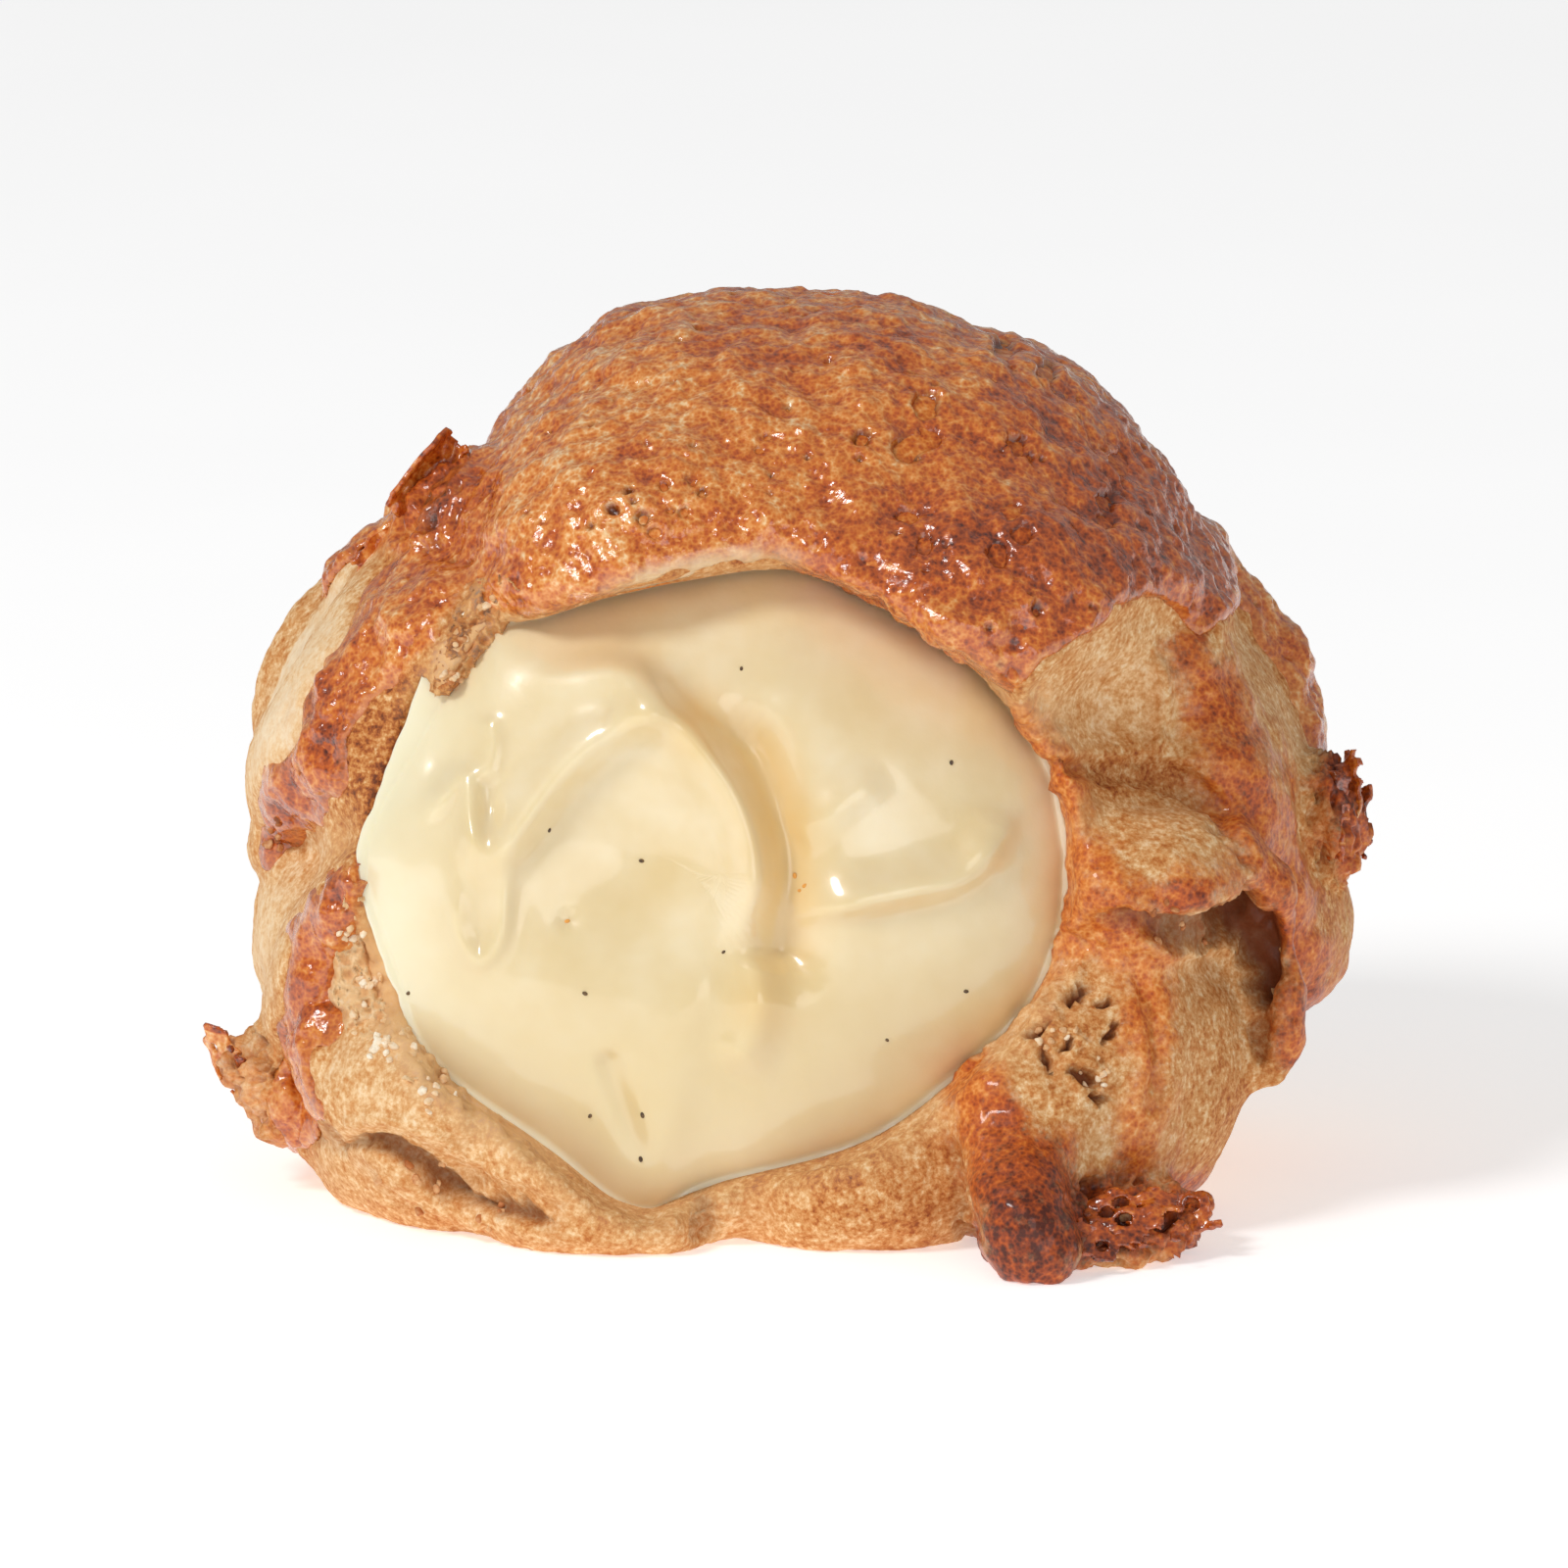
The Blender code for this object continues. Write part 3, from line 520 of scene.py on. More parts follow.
def crustPiece():
    obj = fineSkin("crust", "choux_shell", crust["voxel"], crust["rounds"])
    points, _ = readPoints(obj)
    tatter = np.maximum(grain(points, 2.4, 6.8), 0) + 0.6 * np.maximum(grain(points, 1.0, 2.8), 0)
    keep = (crustReach(points) > -0.5) & (custardGap(points) > crust["clear"] + crust["tatter"] * tatter)
    bm = bmesh.new()
    bm.from_mesh(obj.data)
    bm.verts.ensure_lookup_table()
    bmesh.ops.delete(bm, geom=[bm.verts[k] for k in np.nonzero(~keep)[0]], context="VERTS")
    dropScraps(bm, crust["scrap"])
    bm.to_mesh(obj.data)
    bm.free()

    points, normals = readPoints(obj)
    face = toFace(points)
    faceX, faceS, _ = face.T
    reach = crustReach(points)
    share = np.clip((reach + 0.5) / 1.5, 0, 1)
    inside = ease(reach / 1.2)
    top = ease((faceS - 50) / 12)
    runs = ease((46 - faceS) / 4)
    front = (points[:, 1] < 6) & (normals[:, 1] < 0.35)
    broad = grain(points, 7, 1.7)
    lumps = grain(points, 2.6, 9.3)
    foam = grain(points, 0.95, 2.9)
    bend = 1.4 * grain(points, 8, 6.6)
    swept = np.stack([points[:, 0] / 1.8, points[:, 1] / 1.8, (faceS + 2 * bend) * 1.2], axis=1)
    ripple = grain(swept, 2.0, 4.1)
    near, _ = cells(points, crust["foamSize"], 3.3)
    lift = -crust["bury"] + (crust["bury"] + crust["lift"]) * np.sqrt(1 - (1 - share) ** 2)
    lift += inside * (0.4 * broad + (0.46 + 0.4 * runs) * lumps + 0.2 * foam)
    lift += inside * (0.1 + 0.14 * top) * ripple
    lift -= inside * 0.2 * ease(1 - near / 0.5)
    lift += inside * 0.1 * grain(points, 0.66, 5.8)
    _, flakeLift, pit = flakeRelief(points)
    lift += 0.8 * flakeLift * inside + swellLift(points)
    pore = np.zeros(len(points))
    for x, s, radius in pores:
        away = np.hypot(faceX - x, faceS - s) + 0.25 * foam
        pore = np.maximum(pore, ease(1.5 - away / radius) * front)
    scattered, _ = cells(points, crust["poreSpacing"], 8.2)
    pore = np.maximum(pore, 0.9 * ease(1 - scattered / 0.19) * inside)
    lift -= crust["poreDepth"] * pore
    for x, s, radius, height in blisters:
        away = np.hypot(faceX - x, faceS - s)
        lift += height * np.exp(-(away / radius) ** 2 * 1.6) * front * inside
    x, s, wide, tall = crust["film"]
    away = np.hypot((faceX - x) / wide, (faceS - s - 0.2 * (faceX - x)) / tall) + 0.3 * foam
    # painted shade: darker in the dips between lumps and ripples and inside the foam's cells
    hollow = -0.5 * lumps - 0.5 * ripple * top - 0.3 * foam + 0.25 * ease(1 - near / 0.5)

    writePoints(obj, points + normals * lift[:, None])
    # the pore field paints shade in the pores and the flakes' open cells
    writeFields(obj, pore=np.maximum(pore, 0.8 * pit * inside), hollow=np.clip(hollow, 0, 1),
                edge=ease(1 - reach / 1.4), film=ease(1.5 - away) * front,
                burn=burnShare(points, face, broad))
    addModifier(obj, "SOLIDIFY", thickness=crust["thickness"] * mm, offset=-1, use_even_offset=False)
    count = len(obj.data.vertices)
    applyModifiers(obj)
    hidden = np.arange(len(obj.data.vertices)) >= count  # the inner side
    thinOut(obj, hidden, crust["triangles"])
    dress(obj, crustFinish())
    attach(obj, "root")
    print("crust:", len(obj.data.polygons), "faces")
    return obj


burnSpots = {  # x, s, radii and how dark: mostly browning, but the spots on the cap's right paint shade there and one on its left paints light
    # painted shade on the cap's right side
    "rightSideShade": (27, 48, 10, 12, 0.5),
    "capRightShade": (14, 50, 9, 9, 0.2),
    # painted light on the cap's left side
    "capLeftLight": (-15, 52, 8, 9, -0.2),
    "capLip": (12, 44, 10, 3.5, 0.2),
    "toe": (17, -3, 6, 6, 0.85),
    "apron": (25, -1, 8, 4, 0.7),
    "hanging": (36, 15, 3, 8, 0.5),
    "darkRight": (41, 31, 3, 6, 0.8),
    "curl": (-26, 52, 3, 5, 0.55),
    "combLeft": (-40, 9, 5, 6, 0.1),
    "leftRunLow": (-39, 27, 3, 4, 0.35),
    "leftRun": (-33.5, 34, 3.5, 5, 0.4),
    "runTwo": (-35.5, 17, 3.5, 8, 0.3),
    "lipMiddle": (6, 48.4, 7, 2.6, 0.3),
    "knuckleLow": (28.4, 22, 5, 2.2, 0.6),
    "toeTop": (16, 7, 4, 4, 0.3),
    "rightRun": (33.6, 30, 3.4, 7, 0.3),
}


def burnShare(points, face, broad):
    # browning, plus painted shade and painted light on the cap's two sides
    burn = 0.12 + 0.12 * broad
    front = points[:, 1] < 8
    for x, s, wide, tall, level in burnSpots.values():
        share = ((face[:, 0] - x) / wide) ** 2 + ((face[:, 1] - s) / tall) ** 2
        burn = burn + level * np.exp(-share) * front
    return burn


# Thin torn sheets of crust on the flakes: place of the middle as x, s, d, the directions across
# and up, half sizes, curl in radians, how torn, how open and how burnt

sheets = {
    "curlOuter": ((-27.4, 53.2, 16), (-0.78, 0.6, 0.25), (0.6, 0.78, 0), (2.9, 4.6), 1.6, 0.4, 0.0, 0.3),
    "curlInner": ((-25.6, 51.4, 17), (-0.7, 0.5, 0.5), (0.55, 0.8, 0), (1.9, 3.6), 1.2, 0.5, 0.0, 0.6),
    "curlTail": ((-31.2, 48.6, 13), (-0.6, 0.7, 0.4), (0.75, 0.65, 0), (0.9, 2.8), 0.6, 0.6, 0.0, 0.3),
    "combOuter": ((-41.8, 9.2, 10), (0.85, -0.2, 0.4), (-0.4, 0.9, 0), (2.2, 4.0), 0.7, 0.45, 0.4, -0.1),
    "combInner": ((-40.2, 8.2, 12), (0.8, -0.3, 0.5), (-0.4, 0.9, 0), (1.8, 3.4), 0.9, 0.5, 0.46, 0.05),
    "darkOne": ((41.2, 29.4, 6), (0.7, 0, 0.7), (0.12, 1, 0), (1.5, 4.0), 0.8, 0.5, 0.1, 0.75),
    "darkTwo": ((40.2, 28.4, 8), (0.8, 0, 0.5), (0.05, 1, 0), (1.3, 3.4), 0.6, 0.6, 0.1, 0.55),
    "darkThree": ((42.2, 28.2, 3), (0.5, 0, 0.9), (0.1, 1, 0), (1.2, 3.0), 0.6, 0.6, 0.1, 0.9),
    "apronLace": ((23, -1.2, 34), (1, 0.12, 0.1), (0, 0.8, -0.6), (6.0, 2.6), 0.4, 0.5, 0.3, 0.8),
    "apronFront": ((20.6, -2.8, 36), (1, 0.05, 0), (0, 0.9, -0.4), (4.6, 1.7), 0.5, 0.6, 0.26, 0.7),
    "apronTip": ((29, -0.9, 31), (0.9, 0.3, 0.2), (-0.2, 0.8, -0.5), (2.4, 1.7), 0.7, 0.6, 0.3, 0.7),
}
sheetThickness = 0.4


def sheetPiece():
    bm = bmesh.new()
    burn = []
    for seed, (centre, across, up, half, curl, tear, cell, burnt) in enumerate(sheets.values()):
        made = bmesh.ops.create_grid(bm, x_segments=60, y_segments=60, size=1)["verts"]
        u, v = np.array([vert.co[:2] for vert in made]).T
        across, up, place = (fromFace(*part) for part in (across, up, centre))
        out = np.cross(up, across)
        radius = half[0] / curl
        place = place + np.outer(np.sin(u * curl) * radius, across) + np.outer(v * half[1], up)
        place += np.outer((1 - np.cos(u * curl)) * radius, out)
        wobble = 0.7 * grain(place, 2.6, seed) + 0.3 * grain(place, 0.9, seed + 0.5)
        place += np.outer(wobble, out)
        reach = 1 - (np.abs(u) ** 2.5 + np.abs(v) ** 2.5) ** 0.4
        reach += tear * (grain(place, 2.0, seed + 3.3) + 0.7 * grain(place, 0.8, seed + 6.1))
        near, _ = cells(place, 1.7, seed + 1.2)
        drop = (reach < 0.08) | (near < cell)
        for vert, spot in zip(made, place):
            vert.co = spot
        bmesh.ops.delete(bm, geom=[vert for vert, gone in zip(made, drop) if gone], context="VERTS")
        burn += [burnt] * int((~drop).sum())
    obj = meshObject("crustSheets", bm)
    writePoints(obj, np.array([vert.co for vert in obj.data.vertices]))
    writeFields(obj, burn=burn)
    addModifier(obj, "SOLIDIFY", thickness=sheetThickness * mm, offset=0)
    addModifier(obj, "SMOOTH", iterations=3)
    applyModifiers(obj)
    dress(obj, bpy.data.materials["brown crust"])
    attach(obj, "root")
    print("crust sheets:", len(obj.data.polygons), "faces")


# Spongy crumb laid bare where it tore: (x, s, half width) along each, how far it stands out
# and how brown

tears = {
    "upperLeft": (((-20.6, 46.4, 1.4), (-22.8, 43.8, 2.6), (-24.8, 40.6, 2.4), (-26.6, 36.6, 0.9)),
                  0.5, 0.66),
    "lowerLeft": (((-32.4, 23.6, 0.8), (-33, 18.6, 1.9), (-32.2, 14.6, 2.6), (-29.8, 11.4, 2.4),
                   (-26.6, 8.4, 1.0)), 0.5, 0.12),
}
tearGrid = 96, 40
tearEdgeDrop = 3.2  # how far its edges go in under the skin round it
rayStart = 60  # how far out of the face the rays start


def castFront(trees, x, s):
    # the first skin met from the front at that place of the face, as a point, or None
    start = Vector((fromFace(x, s, rayStart) + puffShift) * mm)
    inward = Vector((0, leanCos, -leanSin))
    hits = [hit for hit in (tree.ray_cast(start, inward) for tree in trees) if hit[0]]
    return min(hits, key=lambda hit: hit[3])[0] if hits else None


def tearPiece(trees):
    bm = bmesh.new()
    toast, hollow = [], []
    for seed, (path, rise, brown) in enumerate(tears.values()):
        curve = smoothPath(path, 10)
        steps = np.linspace(0, 1, len(curve))
        run = np.gradient(curve[:, :2], axis=0)
        run /= np.linalg.norm(run, axis=1)[:, None]
        made = bmesh.ops.create_grid(bm, x_segments=tearGrid[1], y_segments=tearGrid[0], size=1)["verts"]
        u, v = np.array([vert.co[:2] for vert in made]).T
        along = (v + 1) / 2
        x, s, half, runX, runS = (np.interp(along, steps, row) for row in np.hstack([curve, run]).T)
        x = x - runS * u * half
        s = s + runX * u * half
        hits = np.array([castFront(trees, *spot) or (np.nan,) * 3 for spot in zip(x, s)])
        depth = toFace(hits / mm - puffShift)[:, 2]
        depth = np.where(np.isnan(depth), np.nanmedian(depth), depth)
        terms = np.stack([np.ones(len(u)), u, v, u * u, u * v, v * v, v ** 3, u * v * v], axis=1)
        fit = np.linalg.lstsq(terms, depth, rcond=None)[0]
        place = fromFace(x, s, terms @ fit)
        near, second = cells(place + 0.5 * grain(place, 1.3, 3.1)[:, None], 0.9, seed + 2.2)
        lumps = grain(place, 1.9, seed)
        fine = grain(place, 0.62, seed + 4.4)
        lift = rise + 0.8 * lumps + 0.4 * fine + 0.4 * ease(0.8 - (second - near) / 0.25) - 0.3
        away = np.maximum(np.abs(u) + 0.3 * lumps + 0.15 * fine, np.abs(v) ** 3 + 0.2 * lumps)
        lift -= tearEdgeDrop * ease((away - 0.55) / 0.4)
        place = fromFace(x, s, terms @ fit + lift)
        for vert, spot in zip(made, place):
            vert.co = spot
        toast += (brown + 0.2 * lumps).tolist()
        # painted shade inside the cells of the torn crumb
        hollow += (0.5 * ease((second - near) / 0.5 - 0.2)).tolist()
    bmesh.ops.recalc_face_normals(bm, faces=bm.faces)
    obj = meshObject("tornCrumb", bm)
    writePoints(obj, np.array([vert.co for vert in obj.data.vertices]))
    writeFields(obj, toast=toast, hollow=hollow, crumb=1 - np.clip(toast, 0, 1))
    dress(obj, bpy.data.materials["baked choux"])
    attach(obj, "root")
    print("torn crumb:", len(obj.data.polygons), "faces")
    return obj


# Crumbs where the crust tore: column and row in the photo, spread in pixels, how many,
# size in millimetres and how brown

crumbs = {
    "rimPale": (396, 1066, 15, 12, 0.42, 0.0),
    "rimUpper": (378, 1005, 14, 9, 0.36, 0.15),
    "rimTop": (362, 950, 10, 7, 0.32, 0.25),
    "rimLow": (450, 1112, 16, 9, 0.32, 0.2),
    "stripTop": (500, 622, 9, 4, 0.3, 0.4),
    "stripMiddle": (478, 655, 10, 4, 0.3, 0.45),
    "stripLow": (462, 690, 8, 7, 0.32, 0.4),
    "crack": (430, 1202, 24, 9, 0.34, 0.5),
    "crackEnd": (520, 1236, 18, 5, 0.3, 0.5),
    "knuckleCrease": (1196, 940, 30, 7, 0.34, 0.6),
    "pitted": (1078, 1052, 20, 9, 0.3, 0.3),
    "pittedLow": (1112, 1094, 18, 8, 0.3, 0.3),
    "apron": (1145, 1240, 6, 4, 0.45, 0.25),
    "runEnd": (282, 852, 14, 8, 0.36, 0.75),
}


def crumbPiece(trees):
    draw = random.Random(11)
    bm = bmesh.new()
    toast = []
    for column, row, spread, count, size, brown in crumbs.values():
        for k in range(count):
            x = (draw.gauss(column, spread * 0.6) - pixel["column"]) / pixel["perMm"]
            s = (pixel["row"] - draw.gauss(row, spread * 0.6)) / pixel["perMm"]
            spot = castFront(trees, x, s)
            if spot is None:
                continue
            turn = Matrix.Rotation(draw.uniform(0, 6), 4, (draw.random(), 1, 0.3))
            lump = Matrix.Translation(spot) @ turn
            stretch = [size * mm * draw.uniform(0.5, 1.15) for _ in range(3)]
            made = bmesh.ops.create_icosphere(bm, subdivisions=3, radius=1,
                                              matrix=lump @ Matrix.Diagonal((*stretch, 1)))["verts"]
            offset = draw.uniform(0, 50)
            for vert in made:
                away = vert.co - spot
                vert.co = spot + away * (1 + 0.45 * noise.noise(away / (0.3 * mm) + Vector((offset, 0, 0))))
            toast += [min(max(brown + draw.uniform(-0.2, 0.2), 0), 1)] * len(made)
    obj = meshObject("crumbs", bm)
    writeFields(obj, toast=toast)
    dress(obj, crumbFinish())
    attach(obj, "root")
    print("crumbs:", len(obj.data.polygons), "faces")


# The custard, made by the same rule as its node, with the spoon marks in full

faceCentre = (-5.5, 24.2)
faceOutline = (
    (25.2, 1.5), (23.7, 8), (18.6, 15.3), (9.1, 21.2), (4, 22.6), (-6.9, 20.8), (-12.8, 19),
    (-17.9, 17.2), (-21.5, 10.9), (-25.2, 4.4), (-26.1, 0), (-23.8, -7.6), (-20.8, -13.9),
    (-12.8, -19.7), (-6.2, -24.6), (-0.8, -22.6), (9.9, -19.7), (16.4, -15.3), (22.3, -9.5), (24.8, -3.6),
)
custard = {
    "depth": 29.5, "crown": 5.5, "edgeRound": 1.6, "slant": 0.06, "lipTuck": 2.2, "rimRun": 14.0,
    "creep": 0.7, "markFade": 0.22, "join": 0.45,  # shares over which marks end and face turns to filling
    "fillCentre": (0, 3, 32.5), "fillRadii": (30.5, 27.5, 25.5), "faceShare": 0.62,
    "segments": 100, "rings": 54, "cuts": 3,
}
spoonMarks = {  # path from the middle of the face, height, half widths on its left and its right
    "mainCrest": (((-15, 13.4), (-11.7, 14.4), (-7.6, 14.9), (-5.2, 13.3), (-2.9, 10.8), (-1.1, 8.8),
                   (0.5, 6.6), (1.9, 4.1), (2.7, 1.4), (2.7, -1.2), (1.2, -3.6), (-1.8, -5)), 2.9, 1.6, 2.6),
    "valley": (((-1.5, 11.8), (2.2, 9.1), (3.9, 4.7), (4.5, -0.4), (4.6, -5.9), (3.6, -10)),
               -1.9, 2.6, 1.8),
    "secondCrest": (((-2.6, 12.2), (-5.6, 11.4), (-9, 9.8), (-12, 7.0), (-14.1, 4.3), (-16.1, 1.6),
                     (-18.4, -2.2)), 2.3, 1.5, 2.2),
    "loopLeft": (((-19.9, 1.4), (-19.6, -2.2), (-19.3, -4.7), (-17.8, -6.4), (-16.3, -4.7), (-15.9, -1.4),
                  (-15.2, 1.6)), 0.9, 0.9, 0.8),
    "streak": (((-17.2, 12), (-16.9, 9.4), (-17.4, 6.4)), 0.7, 0.8, 1.0),
    "spike": (((-22.4, 3.2), (-20.4, 5.8), (-18.9, 6.9), (-18.4, 3.6), (-18.2, -0.6)), 1.2, 1.1, 0.9),
    "faintRight": (((3, -3.4), (11.4, -1.9), (18, -0.3), (20.6, 2.6), (21.6, 5.2)), 1.4, 2.0, 1.0),
    "riseRight": (((5, 2.6), (8, 4.4), (12.5, 7.6)), 0.5, 1.6, 1.4),
    "softLow": (((3.6, -5.4), (3.0, -8.5), (2.2, -12), (0.6, -15)), 1.2, 1.9, 1.7),
    "lowValley": (((-8.6, -12.6), (-8, -14.9), (-7, -17.8), (-5.4, -22)), -0.8, 1.0, 0.9),
}
dimples = {  # x, s, radii and depth
    "bowl": (-6.3, 0.8, 8.2, 7.2, -2.9),
    "pitTop": (-20.9, 8.4, 1.4, 2.2, -1.3),
    "pitLeft": (-17.0, 4.3, 1.1, 2.4, -1.0),
    "lumpRight": (19.2, 2, 1.6, 1.3, 0.4),
    "nick": (-11.3, -3.4, 0.9, 0.8, -0.35),
}
outlineCurve = smoothPath(faceOutline + faceOutline[:1])


def outlineRadius(angles):
    turn = np.arctan2(outlineCurve[:, 1], outlineCurve[:, 0])
    order = np.argsort(turn)
    reach = np.hypot(outlineCurve[:, 0], outlineCurve[:, 1])
    return np.interp(angles, turn[order], reach[order], period=2 * math.pi)


def custardHeight(x, s):
    share = np.minimum(np.hypot(x, s) / outlineRadius(np.arctan2(s, x)), 1)
    height = custard["depth"] + custard["slant"] * s + custard["crown"] * (1 - share ** 2.4)
    height = height - custard["edgeRound"] * share ** 10
    fade = 1 - share ** 6
    spots = np.stack([x, s], axis=1)
    for path, rise, leftHalf, rightHalf in spoonMarks.values():
        gap, where, side = pathGap(spots, smoothPath(path))
        half = np.where(side > 0, leftHalf, rightHalf)
        ends = ease(where / custard["markFade"]) * ease((1 - where) / custard["markFade"])
        height += fade * rise * ends * np.exp(-(gap / half) ** 2)
    for cx, cs, wide, tall, rise in dimples.values():
        height += fade * rise * np.exp(-((x - cx) / wide) ** 2 - ((s - cs) / tall) ** 2)
    return height


def custardPoints(share, angles):
    lip = ease((np.sin(angles) - 0.15) / 0.5)
    turn = np.stack([np.cos(angles), np.sin(angles), np.zeros(len(angles))], axis=1)
    creep = custard["creep"] * (1 + 0.4 * grain(turn * 25, 3.5, 5.1) + 0.3 * grain(turn * 25, 1.3, 2.1))
    reach = outlineRadius(angles) + custard["lipTuck"] * lip + creep * (1 - 0.8 * lip)
    reach = reach * np.minimum(share / custard["faceShare"], 1)
    inward = np.clip((share - custard["faceShare"]) / (1 - custard["faceShare"]), 0, 1)
    x, s = reach * np.cos(angles), reach * np.sin(angles)
    height = custardHeight(x, s) - custard["rimRun"] * inward
    front = fromFace(faceCentre[0] + x, faceCentre[1] + s, height)
    (cx, cy, cz), (wide, deep, tall) = custard["fillCentre"], custard["fillRadii"]
    polar = np.radians(50 + 130 * inward)
    ring = np.sin(polar)
    inside = np.stack([cx + wide * ring * np.cos(angles), cy - deep * np.cos(polar),
                       cz + tall * ring * np.sin(angles)], axis=1)
    turned = ease(inward / custard["join"])[:, None]
    return front * (1 - turned) + inside * turned


def custardPiece():
    bm = bmesh.new()
    bmesh.ops.create_uvsphere(bm, u_segments=custard["segments"], v_segments=custard["rings"], radius=1)
    bmesh.ops.subdivide_edges(bm, edges=bm.edges, cuts=custard["cuts"], use_grid_fill=True)
    obj = meshObject("custardFilling", bm)
    spots, _ = readPoints(obj)
    spots = (spots + puffShift) * mm
    share = np.arccos(spots[:, 2] / np.linalg.norm(spots, axis=1)) / math.pi
    angles = np.arctan2(spots[:, 1], spots[:, 0])
    points = custardPoints(share, angles)
    face = toFace(points)
    x, s = face[:, 0] - faceCentre[0], face[:, 1] - faceCentre[1]
    # painted shade: the custard is tinted orange along the groove beside the main crest
    valley, _, _ = pathGap(np.stack([x, s], axis=1), smoothPath(spoonMarks["valley"][0]))
    points = points + 0.06 * grain(points, 3.0, 2.5)[:, None] * np.array((0, -1, 0.2))
    writePoints(obj, points)
    fix = bmesh.new()
    fix.from_mesh(obj.data)
    bmesh.ops.recalc_face_normals(fix, faces=fix.faces)
    fix.to_mesh(obj.data)
    fix.free()
    # painted light: the custard paler near its outline, less so on the right
    rim = np.minimum(share / custard["faceShare"], 1) ** 7
    # low: painted shade, the custard darker and yellower towards the bottom
    writeFields(obj, valley=np.exp(-(valley / 2.4) ** 2), low=ease((2 - s) / 22),
                rim=(1 - 0.8 * ease((x - 12) / 8)) * rim)
    dress(obj, custardFinish())
    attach(obj, "root")
    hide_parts("custard")
    print("custard:", len(obj.data.polygons), "faces")
    return obj


specks = {
    "places": ((757, 684), (563, 847), (656, 878), (739, 970), (904, 1059), (657, 1135), (655, 1180),
               (599, 1012), (420, 1012), (604, 1136), (984, 1010), (969, 779)),  # pixels of the photo
    "orange": ((816, 908), (811, 893), (821, 903), (581, 939)),
    "size": 0.19,
}
pixel = {"column": 811, "row": 1222.3, "perMm": 13.7}  # where the photo shows the tables' zero point


def speckPiece():
    bm = bmesh.new()
    draw = random.Random(3)
    orange = []
    for column, row in specks["places"] + specks["orange"]:
        x = (column - pixel["column"]) / pixel["perMm"] - faceCentre[0]
        s = (pixel["row"] - row) / pixel["perMm"] - faceCentre[1]
        height = custardHeight(np.array([x]), np.array([s]))[0] + 0.02
        spot = fromFace(x + faceCentre[0], s + faceCentre[1], height) + puffShift
        size = specks["size"] * draw.uniform(0.7, 1.1) * mm
        place = Matrix.Translation(Vector(spot) * mm) @ Matrix.Rotation(draw.uniform(0, 3), 4, "Y")
        made = bmesh.ops.create_icosphere(bm, subdivisions=2, radius=size,
                                          matrix=place @ Matrix.Diagonal((1.2, 0.5, 0.8, 1)))["verts"]
        orange += [float((column, row) in specks["orange"])] * len(made)
    obj = meshObject("vanillaSpecks", bm)
    writeFields(obj, orange=orange)
    dress(obj, speckFinish())
    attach(obj, "root")
    print("vanilla specks:", len(specks["places"]))


# Finishes

def rgb(red, green, blue):
    # a colour as seen on screen, turned to Blender's linear values
    parts = (part / 255 for part in (red, green, blue))
    return (*(c / 12.92 if c <= 10 / 255 else ((c + 0.055) / 1.055) ** 2.4 for c in parts), 1)


def setInputs(node, values):
    for key, value in values.items():
        if isinstance(value, Wire):
            value.tree.links.new(value.socket, node.inputs[key])
        else:
            node.inputs[key].default_value = value


class Wire:
    # one socket of a shader; arithmetic on it adds Math nodes
    def __init__(self, tree, socket=None):
        self.tree = tree
        self.socket = socket

    def node(self, kind, settings, inputs, output=0):
        made = self.tree.nodes.new("ShaderNode" + kind)
        for key, value in settings.items():
            setattr(made, key, value)
        setInputs(made, inputs)
        return Wire(self.tree, made.outputs[output])

    def maths(self, operation, first, second):
        return self.node("Math", {"operation": operation}, {0: first, 1: second})

    def __add__(self, other):
        return self.maths("ADD", self, other)

    __radd__ = __add__

    def __mul__(self, other):
        return self.maths("MULTIPLY", self, other)

    __rmul__ = __mul__

    def __sub__(self, other):
        return self.maths("SUBTRACT", self, other)

    def __rsub__(self, other):
        return self.maths("SUBTRACT", other, self)

    def clamped(self):
        return self.node("Clamp", {}, {0: self})

    def mixed(self, other, share):
        # this colour blended towards another
        settings = {"data_type": "RGBA", "blend_type": "MIX", "clamp_factor": True}
        return self.node("Mix", settings, {0: share, 6: self, 7: other}, 2)

    def ramp(self, *stops):
        # this value turned to a colour, by stops of (value, colour)
        ramped = self.node("ValToRGB", {}, {"Fac": self})
        elements = ramped.socket.node.color_ramp.elements
        while len(elements) < len(stops):
            elements.new(0.5)
        for element, (position, colour) in zip(elements, stops):
            element.position = position
            element.color = colour
        return ramped

    def bump(self, strength, distance):
        return self.node("Bump", {}, {"Strength": strength, "Distance": distance, "Height": self})

    def field(self, name):
        return self.node("Attribute", {"attribute_name": name}, {}, "Fac")

    def fuzz(self, size, detail=3, roughness=0.55):
        # noise of 0 to 1 at this place, with features of that size in millimetres
        return self.node("TexNoise", {}, {"Vector": self, "Scale": 1 / (size * mm), "Detail": detail,
                                          "Roughness": roughness})

    def foamCells(self, size, feature="F1"):
        return self.node("TexVoronoi", {"feature": feature}, {"Vector": self, "Scale": 1 / (size * mm)})


def startFinish(name):
    material = bpy.data.materials.new(name)
    material.use_nodes = True
    return material, Wire(material.node_tree).node("TexCoord", {}, {}, "Object")


def endFinish(material, values):
    setInputs(material.node_tree.nodes["Principled BSDF"], values)
    return material


